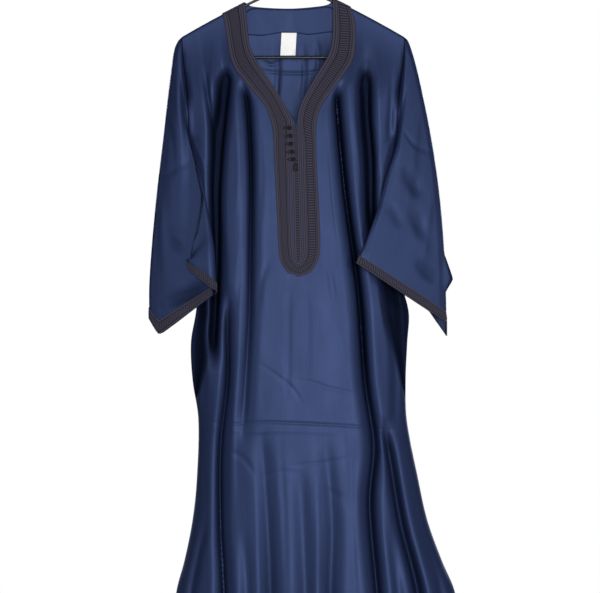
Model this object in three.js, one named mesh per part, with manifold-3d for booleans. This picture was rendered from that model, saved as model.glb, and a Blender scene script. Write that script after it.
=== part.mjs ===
// A gandoura: a loose, ankle-length robe of thin satin with wide sleeves, hung on a slim hanger.
// Millimetres. +Z is up and the front of the robe faces -Y, so +X is on the viewer's right.
// The origin is the highest point inside the hanger's hook, where a rail carries it.
//
// Each panel of cloth is a grid of points on its outer face. The grid's own normals give the
// inner face, and braid, facing and label are further layers of the same grid, cut to outline.

import * as THREE from 'three';
import Module from 'manifold-3d';

const wasm = await Module();
wasm.setup();

// ---- cloth and seams ----
const CLOTH_WALL = 1.6;
const SEAM_GAP = 0.3;
const BRAID_THICKNESS = 1.8;
const CUFF_BRAID_THICKNESS = 1.2;
const FACING_THICKNESS = 1.2;
const LABEL_THICKNESS = 0.8;

// ---- hanger ----
const HANGER_ROD_RADIUS = 2.5;
const HANGER_APEX_Z = -82;
const HANGER_SLOPE = 0.42;
const HANGER_BOW = 0.0004;
const HANGER_BAR_Z = -221;
const HANGER_ARM_END_X = 205;
const HANGER_TIP_X = 211.5;
const HANGER_BAR_END_X = 198;
const HOOK_INNER_RADIUS = 19;
const HOOK_ROD_RADIUS = 2.2;
const HOOK_OPENING_ANGLE = 205;
const HOOK_STEM_TOP_Z = -58;
const HOOK_SEAT = 2.2;
const ROD_SIDES = 8;

// ---- where the cloth turns over the hanger ----
const WRAP_CLEARANCE = 0.7;
const WRAP_DEPTH = HANGER_ROD_RADIUS + WRAP_CLEARANCE + CLOTH_WALL;
const WRAP_HEIGHT = WRAP_DEPTH * 1.14;
const FALL_LENGTH = 150;

// ---- main heights ----
const SHOULDER_X = 210;
const UNDERARM_Z = -376;
const ARMHOLE_BELLY_Z = -250;
const ARMHOLE_DEPTH = 15;
const HEM_Z = -1500;

// ---- outline of the robe: side seams, and how far front and back stand from y = 0 ----
// z, left and right side seam, depth of the front and of the back
const BODY = [
  { z: -178, left: -210, right: 210, front: 17, back: 15 },
  { z: -226, left: -207, right: 208, front: 23, back: 20 },
  { z: -264, left: -203, right: 203, front: 28, back: 24 },
  { z: -302, left: -199, right: 199, front: 32, back: 27 },
  { z: -340, left: -197, right: 197, front: 35, back: 29 },
  { z: -376, left: -196, right: 196, front: 37, back: 31 },
  { z: -400, left: -192, right: 193, front: 38, back: 32 },
  { z: -440, left: -186, right: 187, front: 40, back: 34 },
  { z: -500, left: -178, right: 180, front: 42, back: 36 },
  { z: -570, left: -174, right: 182, front: 45, back: 38 },
  { z: -620, left: -175, right: 194, front: 47, back: 40 },
  { z: -660, left: -179, right: 208, front: 49, back: 42 },
  { z: -705, left: -184, right: 219, front: 51, back: 44 },
  { z: -760, left: -193, right: 216, front: 53, back: 46 },
  { z: -830, left: -190, right: 213, front: 55, back: 48 },
  { z: -905, left: -179, right: 215, front: 59, back: 51 },
  { z: -1020, left: -182, right: 237, front: 67, back: 58 },
  { z: -1096, left: -190, right: 254, front: 74, back: 64 },
  { z: -1171, left: -205, right: 281, front: 82, back: 71 },
  { z: -1228, left: -220, right: 305, front: 88, back: 77 },
  { z: -1370, left: -238, right: 338, front: 102, back: 90 },
  { z: HEM_Z, left: -246, right: 358, front: 112, back: 100 },
];

// ---- largest folds: the line of each valley, its half width and its depth ----
// at: heights and the x of the valley there; depth and width at the first and last of them
const FRONT_FOLDS = [
  { at: [[-170, -176], [-245, -167], [-321, -156], [-360, -151]], width: [9, 10], depth: [5, 6] },
  { at: [[-150, -124], [-245, -128], [-321, -125], [-415, -139], [-529, -148], [-661, -147],
         [-760, -150]], width: [15, 16], depth: [10, 12] },
  { at: [[-225, -92], [-415, -80], [-586, -80], [-718, -82], [-831, -88], [-900, -92]],
    width: [13, 15], depth: [9, 8] },
  { at: [[-690, -118], [-831, -122], [-954, -135], [-1096, -135], [-1224, -128], [-1500, -124]],
    width: [12, 18], depth: [9, 17] },
  { at: [[-900, -56], [-1096, -46], [-1224, -41], [-1500, -36]], width: [16, 22], depth: [5, 16] },
  { at: [[-1000, 14], [-1224, 24], [-1500, 32]], width: [15, 20], depth: [4, 14] },
  { at: [[-720, 46], [-926, 60], [-1096, 73], [-1224, 70], [-1500, 78]],
    width: [14, 20], depth: [4, 16] },
  { at: [[-230, 78], [-283, 80], [-472, 97], [-661, 122], [-831, 135], [-954, 151], [-1060, 143],
         [-1224, 156], [-1500, 172]], width: [14, 18], depth: [10, 18] },
  { at: [[-160, 132], [-245, 135], [-359, 143], [-472, 154], [-540, 150]],
    width: [11, 12], depth: [9, 9] },
  { at: [[-190, 190], [-245, 189], [-359, 184]], width: [8, 9], depth: [6, 7] },
  { at: [[-640, 172], [-718, 184], [-774, 194], [-831, 196], [-880, 196]],
    width: [12, 12], depth: [9, 8] },
  { at: [[-640, -166], [-718, -168], [-775, -173], [-850, -172]], width: [10, 10], depth: [8, 7] },
  { at: [[-930, 174], [-1096, 201], [-1224, 232], [-1500, 268]], width: [14, 20], depth: [6, 18] },
  { at: [[-1100, 182], [-1224, 196], [-1500, 218]], width: [11, 15], depth: [3, 11] },
  { at: [[-1110, -168], [-1224, -190], [-1500, -206]], width: [11, 16], depth: [4, 14] },
  { at: [[-1110, 250], [-1224, 278], [-1500, 318]], width: [12, 16], depth: [4, 14] },
  { at: [[-1130, -88], [-1224, -84], [-1500, -82]], width: [12, 16], depth: [3, 10] },
];

const BACK_FOLDS = [
  { at: [[-165, -160], [-300, -152], [-450, -140], [-620, -138]], width: [12, 14], depth: [7, 8] },
  { at: [[-150, -112], [-320, -104], [-560, -100], [-830, -108], [-1100, -118], [-1500, -134]],
    width: [14, 20], depth: [7, 18] },
  { at: [[-320, -48], [-620, -44], [-900, -52], [-1200, -56], [-1500, -60]],
    width: [15, 20], depth: [5, 16] },
  { at: [[-240, 14], [-500, 10], [-830, 16], [-1160, 24], [-1500, 30]],
    width: [15, 20], depth: [5, 16] },
  { at: [[-180, 72], [-380, 70], [-640, 82], [-900, 92], [-1200, 102], [-1500, 110]],
    width: [14, 20], depth: [7, 18] },
  { at: [[-160, 128], [-320, 130], [-480, 138], [-640, 150]], width: [12, 13], depth: [7, 7] },
  { at: [[-700, 150], [-900, 156], [-1120, 180], [-1300, 198], [-1500, 208]],
    width: [14, 20], depth: [6, 18] },
  { at: [[-1020, 214], [-1224, 250], [-1500, 286]], width: [13, 18], depth: [5, 16] },
  { at: [[-960, -158], [-1224, -184], [-1500, -200]], width: [12, 17], depth: [5, 15] },
];

// ---- the front's sides, which fall back behind its flat middle under the sleeves ----
// x and z of the line along which the cloth turns back
const LEFT_RECESS = [[-172, -600], [-164, -640], [-158, -700], [-158, -740], [-160, -793],
  [-172, -840], [-184, -880]];
const RIGHT_RECESS = [[150, -560], [156, -620], [161, -660], [169, -718], [182, -760],
  [193, -793], [202, -831], [212, -880]];
const RECESS_Y = -3;
const RECESS_STEP = 9;

// ---- neckline and braid, seen from the front ----
// left and right edge of the neck opening
const NECK_LEFT = [[-93, -60], [-90, -126], [-86, -160], [-82, -198], [-71, -226], [-50, -259],
  [-31, -287], [-14, -317], [3, -344]];
const NECK_RIGHT = [[75, -60], [75, -126], [75, -170], [71, -208], [52, -245], [31, -279],
  [16, -311], [6, -344]];
// outer edge of the braid on each side, from shoulder to the round end of the placket
const BRAID_LEFT_EDGE = [[-140, -90], [-133, -136], [-124, -189], [-118, -223], [-109, -245],
  [-90, -270], [-71, -293], [-52, -317], [-43, -340], [-37, -368], [-35, -415], [-31, -491],
  [-28, -557], [-25, -600], [-18, -618], [-8, -630], [4, -636]];
const BRAID_RIGHT_EDGE = [[104, -90], [110, -128], [118, -151], [118, -198], [112, -230],
  [95, -255], [77, -283], [60, -306], [48, -330], [43, -359], [44, -415], [48, -491],
  [51, -567], [49, -598], [42, -616], [30, -629], [12, -636]];
// edges of the centre strip that closes the slit below the V
const PLACKET_LEFT = [[1, -352], [-3, -368], [-4, -400], [-2, -500], [0, -590], [6, -610]];
const PLACKET_RIGHT = [[8, -352], [14, -368], [16, -400], [18, -500], [20, -590], [13, -610]];
const BRAID_CENTRE_X = 9;
const BRAID_MASK_MARGIN = 26;
const BRAID_END_Z = -636;

// ---- back of the neck ----
const BACK_NECK = [[-96, -60], [-90, -117], [-76, -124], [-40, -127], [0, -127.5], [36, -125],
  [62, -121.5], [74, -115], [80, -60]];
const BACK_BRAID = [[-140, -90], [-134, -139], [-112, -157], [-66, -165], [0, -168], [54, -164],
  [92, -151], [110, -132], [110, -90]];
const FACING_OUTLINE = [[-98, -144], [-86, -132], [-74, -127], [-40, -128.5], [0, -129],
  [36, -127], [62, -124], [74, -127], [88, -140], [90, -171], [56, -174], [30, -177], [8, -174],
  [-20, -173], [-40, -176], [-60, -179], [-80, -178], [-100, -178]];
const LABEL = { left: -21, right: 5, top: -173, bottom: -214, lean: 3 };

// ---- buttons: small knots down the slit, and the cord loop below them ----
const BUTTON_RADIUS = 4.2;
const BUTTON_FLATTEN = 0.75;
const BUTTONS = [
  { x: -6, z: -358 },
  { x: -4.5, z: -373 },
  { x: -3, z: -388 },
  { x: -1, z: -403 },
  { x: 1.5, z: -417 },
];
const LOOP = { x: 5, z: -432, halfWidth: 3.4, halfLength: 7, cordRadius: 1.3 };

// ---- sleeves: rings from armhole to cuff ----
// topX, topZ, topY: the sleeve's outer fold. edgeX, edgeZ, edgeY: its inner fold over the robe.
// puff and nip: half thickness mid-way and at the inner fold.
const SLEEVE_RIGHT = [
  { topX: 218, topZ: -191, topY: 0, edgeX: 198, edgeZ: -384, edgeY: -2, puff: 14, nip: 7 },
  { topX: 226, topZ: -213, topY: 0, edgeX: 195.5, edgeZ: -394, edgeY: -9, puff: 13, nip: 6 },
  { topX: 236, topZ: -250, topY: -1, edgeX: 187, edgeZ: -413, edgeY: -20, puff: 12, nip: 5 },
  { topX: 247, topZ: -300, topY: -2, edgeX: 176, edgeZ: -442, edgeY: -29, puff: 11, nip: 5 },
  { topX: 258, topZ: -355, topY: -3, edgeX: 168, edgeZ: -473, edgeY: -35, puff: 10, nip: 4 },
  { topX: 268, topZ: -415, topY: -4, edgeX: 160, edgeZ: -503, edgeY: -39, puff: 10, nip: 4 },
  { topX: 276, topZ: -475, topY: -6, edgeX: 150, edgeZ: -532, edgeY: -45, puff: 9, nip: 4 },
  { topX: 282, topZ: -538, topY: -8, edgeX: 140, edgeZ: -559, edgeY: -50, puff: 9, nip: 4 },
  { topX: 286, topZ: -602, topY: -10, edgeX: 132, edgeZ: -580, edgeY: -54, puff: 9, nip: 4 },
  { topX: 288, topZ: -660, topY: -12, edgeX: 127, edgeZ: -589, edgeY: -56, puff: 9, nip: 4 },
  { topX: 289, topZ: -700, topY: -13, edgeX: 124, edgeZ: -596, edgeY: -57, puff: 9, nip: 4 },
  { topX: 289, topZ: -722, topY: -14, edgeX: 118, edgeZ: -611, edgeY: -58, puff: 9, nip: 4 },
];
// The left sleeve's inner side is turned back over its own front: turn is the angle of that
// fold, flap the width turned back, lift how far the flap is drawn up, sag the droop of the rim.
const SLEEVE_LEFT = [
  { topX: -218, topZ: -191, topY: 0, edgeX: -198, edgeZ: -384, edgeY: -2, puff: 14, nip: 7,
    turn: 0, flap: 12, lift: 0, sag: 0 },
  { topX: -226, topZ: -213, topY: 0, edgeX: -196, edgeZ: -394, edgeY: -9, puff: 13, nip: 6,
    turn: 20, flap: 12, lift: 0, sag: 0 },
  { topX: -231, topZ: -250, topY: -1, edgeX: -187, edgeZ: -412, edgeY: -19, puff: 12, nip: 5,
    turn: 60, flap: 14, lift: 0, sag: 0 },
  { topX: -237, topZ: -300, topY: -2, edgeX: -177, edgeZ: -440, edgeY: -27, puff: 11, nip: 4,
    turn: 120, flap: 18, lift: 0, sag: 0 },
  { topX: -243, topZ: -355, topY: -3, edgeX: -169, edgeZ: -474, edgeY: -34, puff: 10, nip: 3.6,
    turn: 155, flap: 24, lift: 0, sag: 0 },
  { topX: -250, topZ: -415, topY: -4, edgeX: -162, edgeZ: -510, edgeY: -40, puff: 9, nip: 3.6,
    turn: 172, flap: 30, lift: 2, sag: 0 },
  { topX: -257, topZ: -475, topY: -6, edgeX: -155, edgeZ: -546, edgeY: -45, puff: 9, nip: 3.6,
    turn: 180, flap: 36, lift: 5, sag: 4 },
  { topX: -263, topZ: -538, topY: -8, edgeX: -149, edgeZ: -578, edgeY: -50, puff: 8, nip: 3.6,
    turn: 180, flap: 40, lift: 10, sag: 8 },
  { topX: -268, topZ: -600, topY: -10, edgeX: -146, edgeZ: -608, edgeY: -53, puff: 8, nip: 3.6,
    turn: 180, flap: 44, lift: 17, sag: 14 },
  { topX: -271, topZ: -655, topY: -12, edgeX: -145, edgeZ: -634, edgeY: -54, puff: 8, nip: 3.6,
    turn: 180, flap: 46, lift: 25, sag: 26 },
  { topX: -271, topZ: -696, topY: -13, edgeX: -144, edgeZ: -654, edgeY: -55, puff: 8, nip: 3.6,
    turn: 180, flap: 47, lift: 31, sag: 38 },
  { topX: -271, topZ: -714, topY: -14, edgeX: -144, edgeZ: -669, edgeY: -56, puff: 8, nip: 3.6,
    turn: 180, flap: 48, lift: 34, sag: 46 },
];
const SLEEVE_BEND_LENGTH = 28;
const SLEEVE_SAG_PEAK = 0.12;

// ---- rows and columns of the panels ----
// share of the way from the shoulder's turn down to the underarm
const ARMHOLE_SHARES = [0.1, 0.24, 0.38, 0.52, 0.66, 0.79, 0.89, 0.965, 1];
const WRAP_ANGLES = [0, 45, 90];
const FRONT_HEIGHTS = [-400, -440, -490, -545, -600, -655, -710, -765, -830, -905, -985, -1065,
  -1145, -1230, -1320, -1410, HEM_Z];
const BACK_HEIGHTS = [-400, -440, -510, -600, -700, -800, -910, -1020, -1130, -1245, -1370, HEM_Z];
const FRONT_COLUMNS = 46;
const BACK_COLUMNS = 30;
const COLUMN_EASE = 0.25;

// ---- shape helpers ----

function mix(a, b, share) {
  return a + (b - a) * share;
}

function clamp(value, low, high) {
  return Math.min(Math.max(value, low), high);
}

function ease(share) {
  const s = clamp(share, 0, 1);
  return s * s * (3 - 2 * s);
}

// Smooth curve through the rows of a table, whose heights run downwards.
function along(rows, heightOf, valueOf, z) {
  const last = rows.length - 1;
  if (z >= heightOf(rows[0])) return valueOf(rows[0]);
  if (z <= heightOf(rows[last])) return valueOf(rows[last]);
  let k = 0;
  while (z < heightOf(rows[k + 1])) k += 1;
  const slopeAt = (row) => {
    const above = rows[Math.max(row - 1, 0)];
    const below = rows[Math.min(row + 1, last)];
    return (valueOf(below) - valueOf(above)) / (heightOf(below) - heightOf(above));
  };
  const span = heightOf(rows[k + 1]) - heightOf(rows[k]);
  const s = (z - heightOf(rows[k])) / span;
  const fromStart = 2 * s ** 3 - 3 * s ** 2 + 1;
  const startSlope = s ** 3 - 2 * s ** 2 + s;
  const endSlope = s ** 3 - s ** 2;
  return fromStart * valueOf(rows[k]) + (1 - fromStart) * valueOf(rows[k + 1])
    + span * (startSlope * slopeAt(k) + endSlope * slopeAt(k + 1));
}

function bodyAt(column, z) {
  return along(BODY, (row) => row.z, (row) => row[column], z);
}

function lineAt(points, z) {
  return along(points, (point) => point[1], (point) => point[0], z);
}

// Centre line of the hanger's arm, and the top of the cloth that lies over it.
function armHeight(x) {
  return HANGER_APEX_Z - HANGER_SLOPE * Math.abs(x) - HANGER_BOW * x * x;
}

function shoulderHeight(x) {
  return armHeight(x) + WRAP_HEIGHT;
}

// ---- the robe's two panels as height fields ----

function foldDepth(folds, x, z) {
  let total = 0;
  for (const fold of folds) {
    const first = fold.at[0][0];
    const last = fold.at[fold.at.length - 1][0];
    const fadeIn = ease((first + 40 - z) / 80);
    const fadeOut = last === HEM_Z ? 1 : ease((z - last + 60) / 90);
    const share = clamp((z - first) / (last - first), 0, 1);
    const width = mix(fold.width[0], fold.width[1], share);
    const depth = mix(fold.depth[0], fold.depth[1], share) * fadeIn * fadeOut;
    const valleyX = along(fold.at, (point) => point[0], (point) => point[1], z);
    const q = (x - valleyX) / width;
    total += depth * (1 - 0.7 * q * q) * Math.exp(-0.8 * q * q);
  }
  return total;
}

// Folds die out under the stiff braid of the front.
function braidMask(x, z) {
  const left = lineAt(BRAID_LEFT_EDGE, Math.max(z, -557));
  const right = lineAt(BRAID_RIGHT_EDGE, Math.max(z, -557));
  const beside = Math.max(left - x, x - right, 0) / BRAID_MASK_MARGIN;
  const below = Math.max(BRAID_END_Z - z, 0) / (2 * BRAID_MASK_MARGIN);
  return ease(Math.hypot(beside, below));
}

// Depth at the armhole's edge; it closes to the seam at the underarm.
function edgeDepth(z) {
  if (z <= UNDERARM_Z) return SEAM_GAP / 2;
  const share = clamp((ARMHOLE_BELLY_Z - z) / (ARMHOLE_BELLY_Z - UNDERARM_Z), 0, 1);
  return SEAM_GAP / 2 + ARMHOLE_DEPTH * Math.sqrt(1 - share ** 3);
}

// Share of the way back behind the front's middle, at its sides below the sleeves.
function sideRecess(x, z) {
  const left = ease((lineAt(LEFT_RECESS, z) - x) / RECESS_STEP)
    * ease((-600 - z) / 60) * ease((z + 900) / 60);
  const right = ease((x - lineAt(RIGHT_RECESS, z)) / RECESS_STEP)
    * ease((-560 - z) / 60) * ease((z + 890) / 60);
  return Math.max(left, right);
}

const FRONT = {
  sign: -1, depth: 'front', folds: FRONT_FOLDS, mask: braidMask, recess: sideRecess,
};
const BACK = { sign: 1, depth: 'back', folds: BACK_FOLDS, mask: () => 1, recess: () => 0 };

function panelPoint(panel, x, z) {
  const top = shoulderHeight(x);
  const rise = clamp((z - top + WRAP_HEIGHT) / WRAP_HEIGHT, 0, 1);
  const wrap = Math.max(WRAP_DEPTH * Math.sqrt(1 - rise * rise), SEAM_GAP / 2);
  const left = bodyAt('left', z);
  const right = bodyAt('right', z);
  const across = clamp(Math.abs(2 * x - left - right) / (right - left), 0, 1);
  const bow = (1 - across ** 3) ** 0.62;
  const edge = edgeDepth(z);
  const inSide = ease((1 - across) / 0.22);
  const folds = foldDepth(panel.folds, x, z) * panel.mask(x, z) * inSide;
  const hanging = edge + (bodyAt(panel.depth, z) - edge) * bow - folds;
  const fall = ease((top - WRAP_HEIGHT - z) / FALL_LENGTH);
  const y = panel.sign * mix(wrap, hanging, fall);
  return new THREE.Vector3(x, mix(y, Math.max(y, RECESS_Y), panel.recess(x, z)), z);
}

// Columns are closer together towards the side seams, where the cloth turns back.
function columnShares(count) {
  const shares = [];
  for (let j = 0; j <= count; j += 1) {
    const t = 2 * j / count - 1;
    const spread = 1 - (1 - Math.abs(t)) ** 2;
    shares.push(Math.sign(t) * mix(Math.abs(t), spread, COLUMN_EASE));
  }
  return shares;
}

function edgeX(share, z) {
  return share < 0 ? bodyAt('left', z) : bodyAt('right', z);
}

function armholeRow(columns, wrapAngle, share) {
  return columns.map((s) => {
    const topX = SHOULDER_X * s;
    const turned = WRAP_HEIGHT * (1 - Math.cos(THREE.MathUtils.degToRad(wrapAngle)));
    const start = shoulderHeight(topX) - turned;
    const z = mix(start, UNDERARM_Z, share);
    const seamZ = mix(shoulderHeight(SHOULDER_X) - turned, UNDERARM_Z, share);
    return [edgeX(s, seamZ) * Math.abs(s), z];
  });
}

function bodyRow(columns, z) {
  const middle = (bodyAt('left', z) + bodyAt('right', z)) / 2;
  const half = (bodyAt('right', z) - bodyAt('left', z)) / 2;
  return columns.map((s) => [middle + half * s, z]);
}

function panelGrid(panel, columnCount, heights) {
  const columns = columnShares(columnCount);
  const rows = WRAP_ANGLES.map((angle) => armholeRow(columns, angle, 0));
  for (const share of ARMHOLE_SHARES) rows.push(armholeRow(columns, 90, share));
  for (const z of heights) rows.push(bodyRow(columns, z));
  return rows.map((row) => row.map(([x, z]) => panelPoint(panel, x, z)));
}

// ---- grids of points to closed solids ----

// Normals of a grid, from the points on each side of every point; sense turns them outwards.
function gridNormals(grid, closed, sense) {
  const last = grid.length - 1;
  return grid.map((row, i) => row.map((point, j) => {
    const count = row.length;
    const previous = closed ? (j + count - 1) % count : Math.max(j - 1, 0);
    const next = closed ? (j + 1) % count : Math.min(j + 1, count - 1);
    const acrossRow = new THREE.Vector3().subVectors(row[next], row[previous]);
    const downGrid = new THREE.Vector3().subVectors(grid[Math.min(i + 1, last)][j],
      grid[Math.max(i - 1, 0)][j]);
    return acrossRow.cross(downGrid).normalize().multiplyScalar(sense);
  }));
}

function moved(grid, normals, distance) {
  return grid.map((row, i) => row.map((point, j) => (
    point.clone().addScaledVector(normals[i][j], distance))));
}

// Closed solid between two faces of the same grid.
function solidBetween(outer, inner, closed) {
  const rows = outer.length;
  const columns = outer[0].length;
  const positions = [];
  for (const face of [outer, inner]) {
    for (const row of face) {
      for (const point of row) positions.push(point.x, point.y, point.z);
    }
  }
  const at = (face, i, j) => face * rows * columns + i * columns + (j % columns);
  const index = [];
  const quad = (a, b, c, d) => index.push(a, b, c, a, c, d);
  const strips = closed ? columns : columns - 1;
  for (let i = 0; i < rows - 1; i += 1) {
    for (let j = 0; j < strips; j += 1) {
      quad(at(0, i, j), at(0, i + 1, j), at(0, i + 1, j + 1), at(0, i, j + 1));
      quad(at(1, i, j), at(1, i, j + 1), at(1, i + 1, j + 1), at(1, i + 1, j));
    }
  }
  for (let j = 0; j < strips; j += 1) {
    quad(at(0, 0, j), at(0, 0, j + 1), at(1, 0, j + 1), at(1, 0, j));
    const end = rows - 1;
    quad(at(0, end, j + 1), at(0, end, j), at(1, end, j), at(1, end, j + 1));
  }
  if (!closed) {
    for (let i = 0; i < rows - 1; i += 1) {
      const end = columns - 1;
      quad(at(0, i + 1, 0), at(0, i, 0), at(1, i, 0), at(1, i + 1, 0));
      quad(at(0, i, end), at(0, i + 1, end), at(1, i + 1, end), at(1, i, end));
    }
  }
  return facingOut(geometryFrom(positions, index));
}

function geometryFrom(positions, index) {
  const geometry = new THREE.BufferGeometry();
  geometry.setAttribute('position', new THREE.Float32BufferAttribute(positions, 3));
  geometry.setIndex(index);
  return geometry;
}

// Turns every triangle round when the solid's volume comes out negative.
function facingOut(geometry) {
  const position = geometry.getAttribute('position');
  const index = Array.from(geometry.getIndex().array);
  const a = new THREE.Vector3();
  const b = new THREE.Vector3();
  const c = new THREE.Vector3();
  let volume = 0;
  for (let t = 0; t < index.length; t += 3) {
    a.fromBufferAttribute(position, index[t]);
    b.fromBufferAttribute(position, index[t + 1]);
    c.fromBufferAttribute(position, index[t + 2]);
    volume += a.dot(b.cross(c));
  }
  if (volume < 0) {
    for (let t = 0; t < index.length; t += 3) {
      [index[t + 1], index[t + 2]] = [index[t + 2], index[t + 1]];
    }
    geometry.setIndex(index);
  }
  return geometry;
}

// ---- booleans ----

function weldedArrays(geometry) {
  const position = geometry.getAttribute('position');
  const order = geometry.getIndex();
  const count = order ? order.count : position.count;
  const seen = new Map();
  const vertices = [];
  const triangles = [];
  for (let k = 0; k < count; k += 1) {
    const v = order ? order.getX(k) : k;
    const point = [position.getX(v), position.getY(v), position.getZ(v)];
    const key = point.map((value) => Math.round(value * 1e4)).join();
    if (!seen.has(key)) {
      seen.set(key, vertices.length / 3);
      vertices.push(...point);
    }
    triangles.push(seen.get(key));
  }
  return { vertices, triangles };
}

function toManifold(geometry) {
  const { vertices, triangles } = weldedArrays(geometry);
  return new wasm.Manifold(new wasm.Mesh({
    numProp: 3,
    vertProperties: new Float32Array(vertices),
    triVerts: new Uint32Array(triangles),
  }));
}

function fromManifold(manifold) {
  const mesh = manifold.getMesh();
  return geometryFrom(Array.from(mesh.vertProperties), Array.from(mesh.triVerts));
}

// Prism through the robe along Y, over an outline of x and z.
function prism(outline, fromY, toY) {
  const shape = new THREE.Shape(outline.map(([x, z]) => new THREE.Vector2(x, z)));
  const geometry = new THREE.ExtrudeGeometry(shape, { depth: toY - fromY, bevelEnabled: false });
  geometry.rotateX(Math.PI / 2);
  geometry.translate(0, toY, 0);
  return geometry;
}

function cut(geometry, tool) {
  return fromManifold(toManifold(geometry).subtract(toManifold(tool)));
}

function keep(geometry, tool) {
  return fromManifold(toManifold(geometry).intersect(toManifold(tool)));
}

// ---- materials ----

const satin = { color: '#243a6b', roughness: 0.42, metalness: 0.05 };
const satinInside = { color: '#1d2f5c', roughness: 0.5, metalness: 0.05 };
const braidYarn = { color: '#2d2b3a', roughness: 0.85, metalness: 0 };
const labelTape = { color: '#e8e8e6', roughness: 0.7, metalness: 0 };
const blackPlastic = { color: '#101014', roughness: 0.35, metalness: 0 };

const gandoura = new THREE.Group();
gandoura.name = 'gandoura_on_a_hanger';

function add(name, geometry, look) {
  const mesh = new THREE.Mesh(geometry, new THREE.MeshStandardMaterial(look));
  mesh.name = name;
  gandoura.add(mesh);
}

// ---- front and back ----

// The normals at a panel's borders are squared to its seams, so that pieces meet face to face.
function panelNormals(panel, grid) {
  const normals = gridNormals(grid, false, panel.sign);
  const lastArmholeRow = WRAP_ANGLES.length + ARMHOLE_SHARES.length - 2;
  const end = grid[0].length - 1;
  for (const normal of normals[0]) normal.setY(0).normalize();
  for (const normal of normals[normals.length - 1]) normal.setZ(0).normalize();
  normals.forEach((row, i) => {
    for (const [j, outward] of [[0, -1], [end, 1]]) {
      if (i === 0) row[j].set(0, 0, 1);
      else if (i <= lastArmholeRow) row[j].setX(0).normalize();
      else row[j].set(outward, 0, 0);
    }
  });
  return normals;
}

function makePanel(panel, columnCount, heights) {
  const grid = panelGrid(panel, columnCount, heights);
  const normals = panelNormals(panel, grid);
  const layer = (from, to, rows = grid.length) => solidBetween(
    moved(grid.slice(0, rows), normals.slice(0, rows), to),
    moved(grid.slice(0, rows), normals.slice(0, rows), from),
    false,
  );
  return { grid, layer };
}

const front = makePanel(FRONT, FRONT_COLUMNS, FRONT_HEIGHTS);
const back = makePanel(BACK, BACK_COLUMNS, BACK_HEIGHTS);
const neckHole = prism([...NECK_LEFT, ...NECK_RIGHT.toReversed()], -200, SEAM_GAP / 2);
const backNeckHole = prism(BACK_NECK, -SEAM_GAP / 2, 200);
add('front', cut(front.layer(-CLOTH_WALL, 0), neckHole), satin);
add('back', cut(back.layer(-CLOTH_WALL, 0), backNeckHole), satin);

// ---- braid, placket, facing and label: layers of the same panels ----

function braidOn(panel, rows, outline, fromY, toY, hole) {
  const layer = panel.layer(SEAM_GAP, SEAM_GAP + BRAID_THICKNESS, rows);
  const band = keep(layer, prism(outline, fromY, toY));
  return hole ? cut(band, hole) : band;
}

function shifted(points, distance) {
  return points.map(([x, z]) => [x + distance, z]);
}

const BRAID_ROWS = 19;
const leftBand = [...BRAID_LEFT_EDGE, [BRAID_CENTRE_X - SEAM_GAP / 2, -636.5],
  [BRAID_CENTRE_X - SEAM_GAP / 2, -611], ...PLACKET_LEFT.toReversed(),
  ...NECK_LEFT.toReversed()];
const rightBand = [...BRAID_RIGHT_EDGE, [BRAID_CENTRE_X + SEAM_GAP / 2, -636.5],
  [BRAID_CENTRE_X + SEAM_GAP / 2, -611], ...PLACKET_RIGHT.toReversed(),
  ...NECK_RIGHT.toReversed()];
const placketStrip = [...shifted(PLACKET_LEFT, SEAM_GAP),
  ...shifted(PLACKET_RIGHT, -SEAM_GAP).toReversed()];
add('braid_left', braidOn(front, BRAID_ROWS, leftBand, -200, -SEAM_GAP / 2), braidYarn);
add('braid_right', braidOn(front, BRAID_ROWS, rightBand, -200, -SEAM_GAP / 2), braidYarn);
add('placket', braidOn(front, BRAID_ROWS, placketStrip, -200, -SEAM_GAP / 2), braidYarn);
add('braid_back', braidOn(back, 8, BACK_BRAID, SEAM_GAP / 2, 200, backNeckHole), braidYarn);

const facingFace = -CLOTH_WALL - SEAM_GAP;
const facingLayer = back.layer(facingFace - FACING_THICKNESS, facingFace, 8);
add('neck_facing', keep(facingLayer, prism(FACING_OUTLINE, 0, 200)), satinInside);

const labelFace = facingFace - FACING_THICKNESS - SEAM_GAP;
const labelLayer = back.layer(labelFace - LABEL_THICKNESS, labelFace, 10);
const labelOutline = [[LABEL.left, LABEL.top], [LABEL.right, LABEL.top],
  [LABEL.right - LABEL.lean, LABEL.bottom], [LABEL.left - LABEL.lean, LABEL.bottom]];
add('label', keep(labelLayer, prism(labelOutline, 0, 200)), labelTape);

// ---- sleeves ----

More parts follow.
